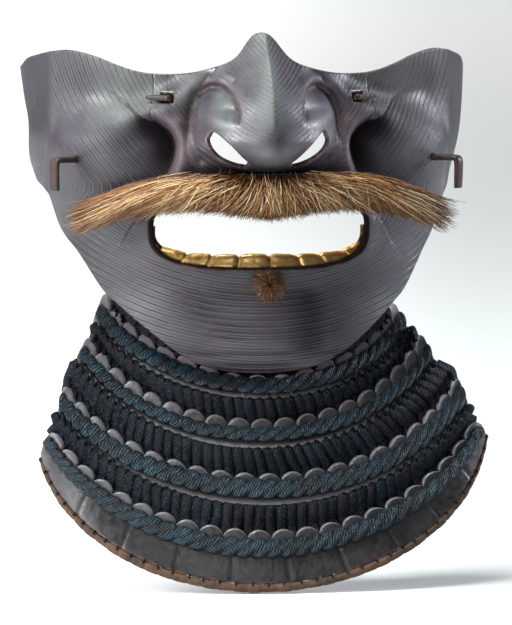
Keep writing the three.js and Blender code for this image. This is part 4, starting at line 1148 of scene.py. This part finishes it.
def moustache(word, sign, count):
    """One half of the moustache. Hairs are rooted along the upper lip in locks that share a height, a
    bend and a shade. Short ones point down and make the ragged lower fringe; long ones sweep out along
    a bundle that droops and narrows to a ragged end. Those deep in the bundle are painted darkest, as shade."""
    locks = count // LOCK
    lock = np.sort(chance.integers(0, locks, count))
    shared = ("height", "depth", "bend", "shade", "reach")
    common = {key: chance.uniform(-1, 1, locks)[lock] for key in shared}
    root = (48 * chance.uniform(-0.06, 1, locks))[lock] + chance.normal(0, 0.8, count)
    most = mix(5, 46, fade(-2, 24, root))
    share = np.clip(0.55 + 0.35 * common["reach"] + chance.normal(0, 0.16, count), 0.03, 1)
    reach = most * share + mix(chance.normal(0, 1.6, count), 0, fade(0, 14, root))
    start = 0.68 + 0.15 * common["height"] + 0.13 * chance.normal(0, 1, count)
    low_end = -0.84 - 0.13 * np.abs(chance.normal(0, 1, count))
    side_end = np.clip(0.75 * common["height"] + 0.32 * chance.normal(0, 1, count), -1.1, 0.95) - 0.1
    finish_at = mix(low_end, side_end, fade(8, 30, reach))
    far = np.minimum(root + reach, 77.8 + 2.2 * side_end + chance.normal(0, 1.9, count))
    s = np.linspace(0, 1, 7)[None]
    x = mix(root[:, None], far[:, None], s ** mix(1.5, 1.0, fade(5, 30, reach))[:, None])
    level = mix(start[:, None], finish_at[:, None], s ** 1.1)
    depth = np.clip(0.6 * common["depth"] + 0.5 * chance.normal(0, 1, count), -1, 1)[:, None]
    room = np.sqrt(np.clip(1 - np.minimum(np.abs(level), 0.98) ** 2, 0.06, 1))
    puff = np.sin(np.pi * np.clip(s * 0.85 + 0.15, 0, 1))
    a = np.abs(x)
    wave = 0.9 * common["bend"][:, None] * np.sin(s * 4.2 + 2.5 * common["depth"][:, None])
    kink = 0.4 * np.sin(s * chance.uniform(2, 9, count)[:, None] + chance.uniform(0, 6, count)[:, None])
    y = bunch_y(a) + 0.6 - bunch_thick(a) * depth * room * mix(0.55, 1.0, puff) - 0.5 * kink
    z = bunch_z(a) + bunch_tall(a) * level + (wave + kink) * np.minimum(1, s * 3)
    path = np.stack([sign * x + 2.2 + 0.3 * kink, y, z], -1)
    # Strands deep in the bundle get painted shade; the rest is each lock's and strand's own tone.
    shade = 0.42 + 0.22 * depth[:, 0] + 0.2 * common["shade"] + 0.24 * chance.normal(0, 1, count)
    strands("moustache_" + word, path, chance.uniform(0.12, 0.24, count), shade, ["moustache"])


def chin_tuft(count):
    """The round tuft under the lip: hairs from one small root spring forward, then spread all round."""
    root_x, root_y, root_z = face_point(np.array(2.6), np.array(-20.6))
    turn = chance.uniform(0, 2 * np.pi, count)
    spread = np.sqrt(chance.uniform(0.02, 1, count))
    s = np.linspace(0, 1, 6)[None]
    out = (spread * chance.uniform(0.75, 1.12, count))[:, None] * (0.12 + 0.88 * s**1.3)
    forward = (5.6 * (1 - 0.75 * spread**2))[:, None] * np.sin(np.pi / 2 * s) + 0.2
    x = root_x + TUFT_RADIUS * out * np.cos(turn)[:, None]
    z = root_z + (TUFT_RADIUS - 0.5) * out * np.sin(turn)[:, None] - 0.9 * (s**2)
    y = root_y - 0.4 - forward
    shade = chance.normal(0.32, 0.24, count)
    thick = chance.uniform(0.11, 0.2, count)
    strands("chin_tuft_hair", np.stack([x, y, z], -1), thick, shade, ["chin_tuft"])


SIDES = (("left", -1), ("right", 1))
for word, sign in SIDES:
    moustache(word, sign, HAIRS)
chin_tuft(TUFT_HAIRS)


# ------------------------------------------------------------------ iron hooks
def forged_bar(name, path, wide, thick, stands_for):
    """A forged bar with round edges along a path (n, 3): wide is its half-width upright or across the
    bend, thick its half-thickness in the plane of the bend, both at each point of the path."""
    line = rounded(path, 6)
    spots = np.linspace(0, len(path) - 1, len(line))
    size = lambda values: through(np.arange(len(path)), values)(spots)[:, None]
    ahead = unit(np.gradient(line, axis=0))
    middle = line[len(line) // 2]
    side = unit(np.cross(line[0] - middle, line[-1] - middle)) + 0 * ahead
    rise = unit(np.cross(ahead, side))
    rings = oval_rings(line[None], (side * size(wide))[None], (rise * size(thick))[None], 14, 3.2)
    points, faces, _ = skins(rings)
    piece(name, points, faces, [IRON], stands_for)


def cord_hook(word, sign):
    """A hook for the helmet's cord: out through its hole in the cheek, then bent down."""
    at = face_point(np.array(HOOK_X * sign), np.array(HOOK_Z))
    out = np.array([sign * math.sin(HOOK_TURN), -math.cos(HOOK_TURN), 0])
    up = np.array([0, 0, 1.0])
    stations = [(-4.6, 0), (-1.8, 0), (1.5, 0), (3, 0), (6.5, 0),
                (10.6, 0.05), (11.8, -1.3), (11.9, -5), (11.8, -9), (11.7, -12.2)]
    wide = [1.4, 1.4, 1.4, 2.3, 2.6, 2.6, 2.7, 2.65, 2.6, 2.5]
    thick = [1.4, 1.4, 1.4, 1.3, 1.25, 1.25, 1.2, 1.15, 1.1, 1.0]
    path = [at + out * a + up * b for a, b in stations]
    forged_bar("forged_cord_hook_" + word, path, wide, thick, ["cord_hook_" + word])


def nose_hook(word, sign):
    """A flat hook that holds the nose plate: along the plate's back, then out through its slot and over
    the front of the face plate."""
    reach = [52.6, 46, 40.2, 36.2, 38.4, 38.6, 40.4, 43.2, 46.8]
    path = []
    for a, behind in zip(reach, [4.4] * 4 + [2.5] + [None] * 4):
        x = a * sign + NOSE_ASIDE
        y = face_point(np.full(3, x), np.array([-1.2, 0, 1.2]) + SLOT_Z, True)[:, 1]
        path.append((x, y.min() - 1.25 if behind is None else y.max() + behind, SLOT_Z))
    wide = [3.1, 3.2, 3.2, 3.1, 1.3, 1.1, 1.15, 1.1, 0.7]
    thick = [0.6, 0.6, 0.65, 0.7, 0.9, 1.0, 0.85, 0.75, 0.5]
    forged_bar("forged_nose_hook_" + word, path, wide, thick, ["nose_hook_" + word])


for word, sign in SIDES:
    cord_hook(word, sign)
    nose_hook(word, sign)
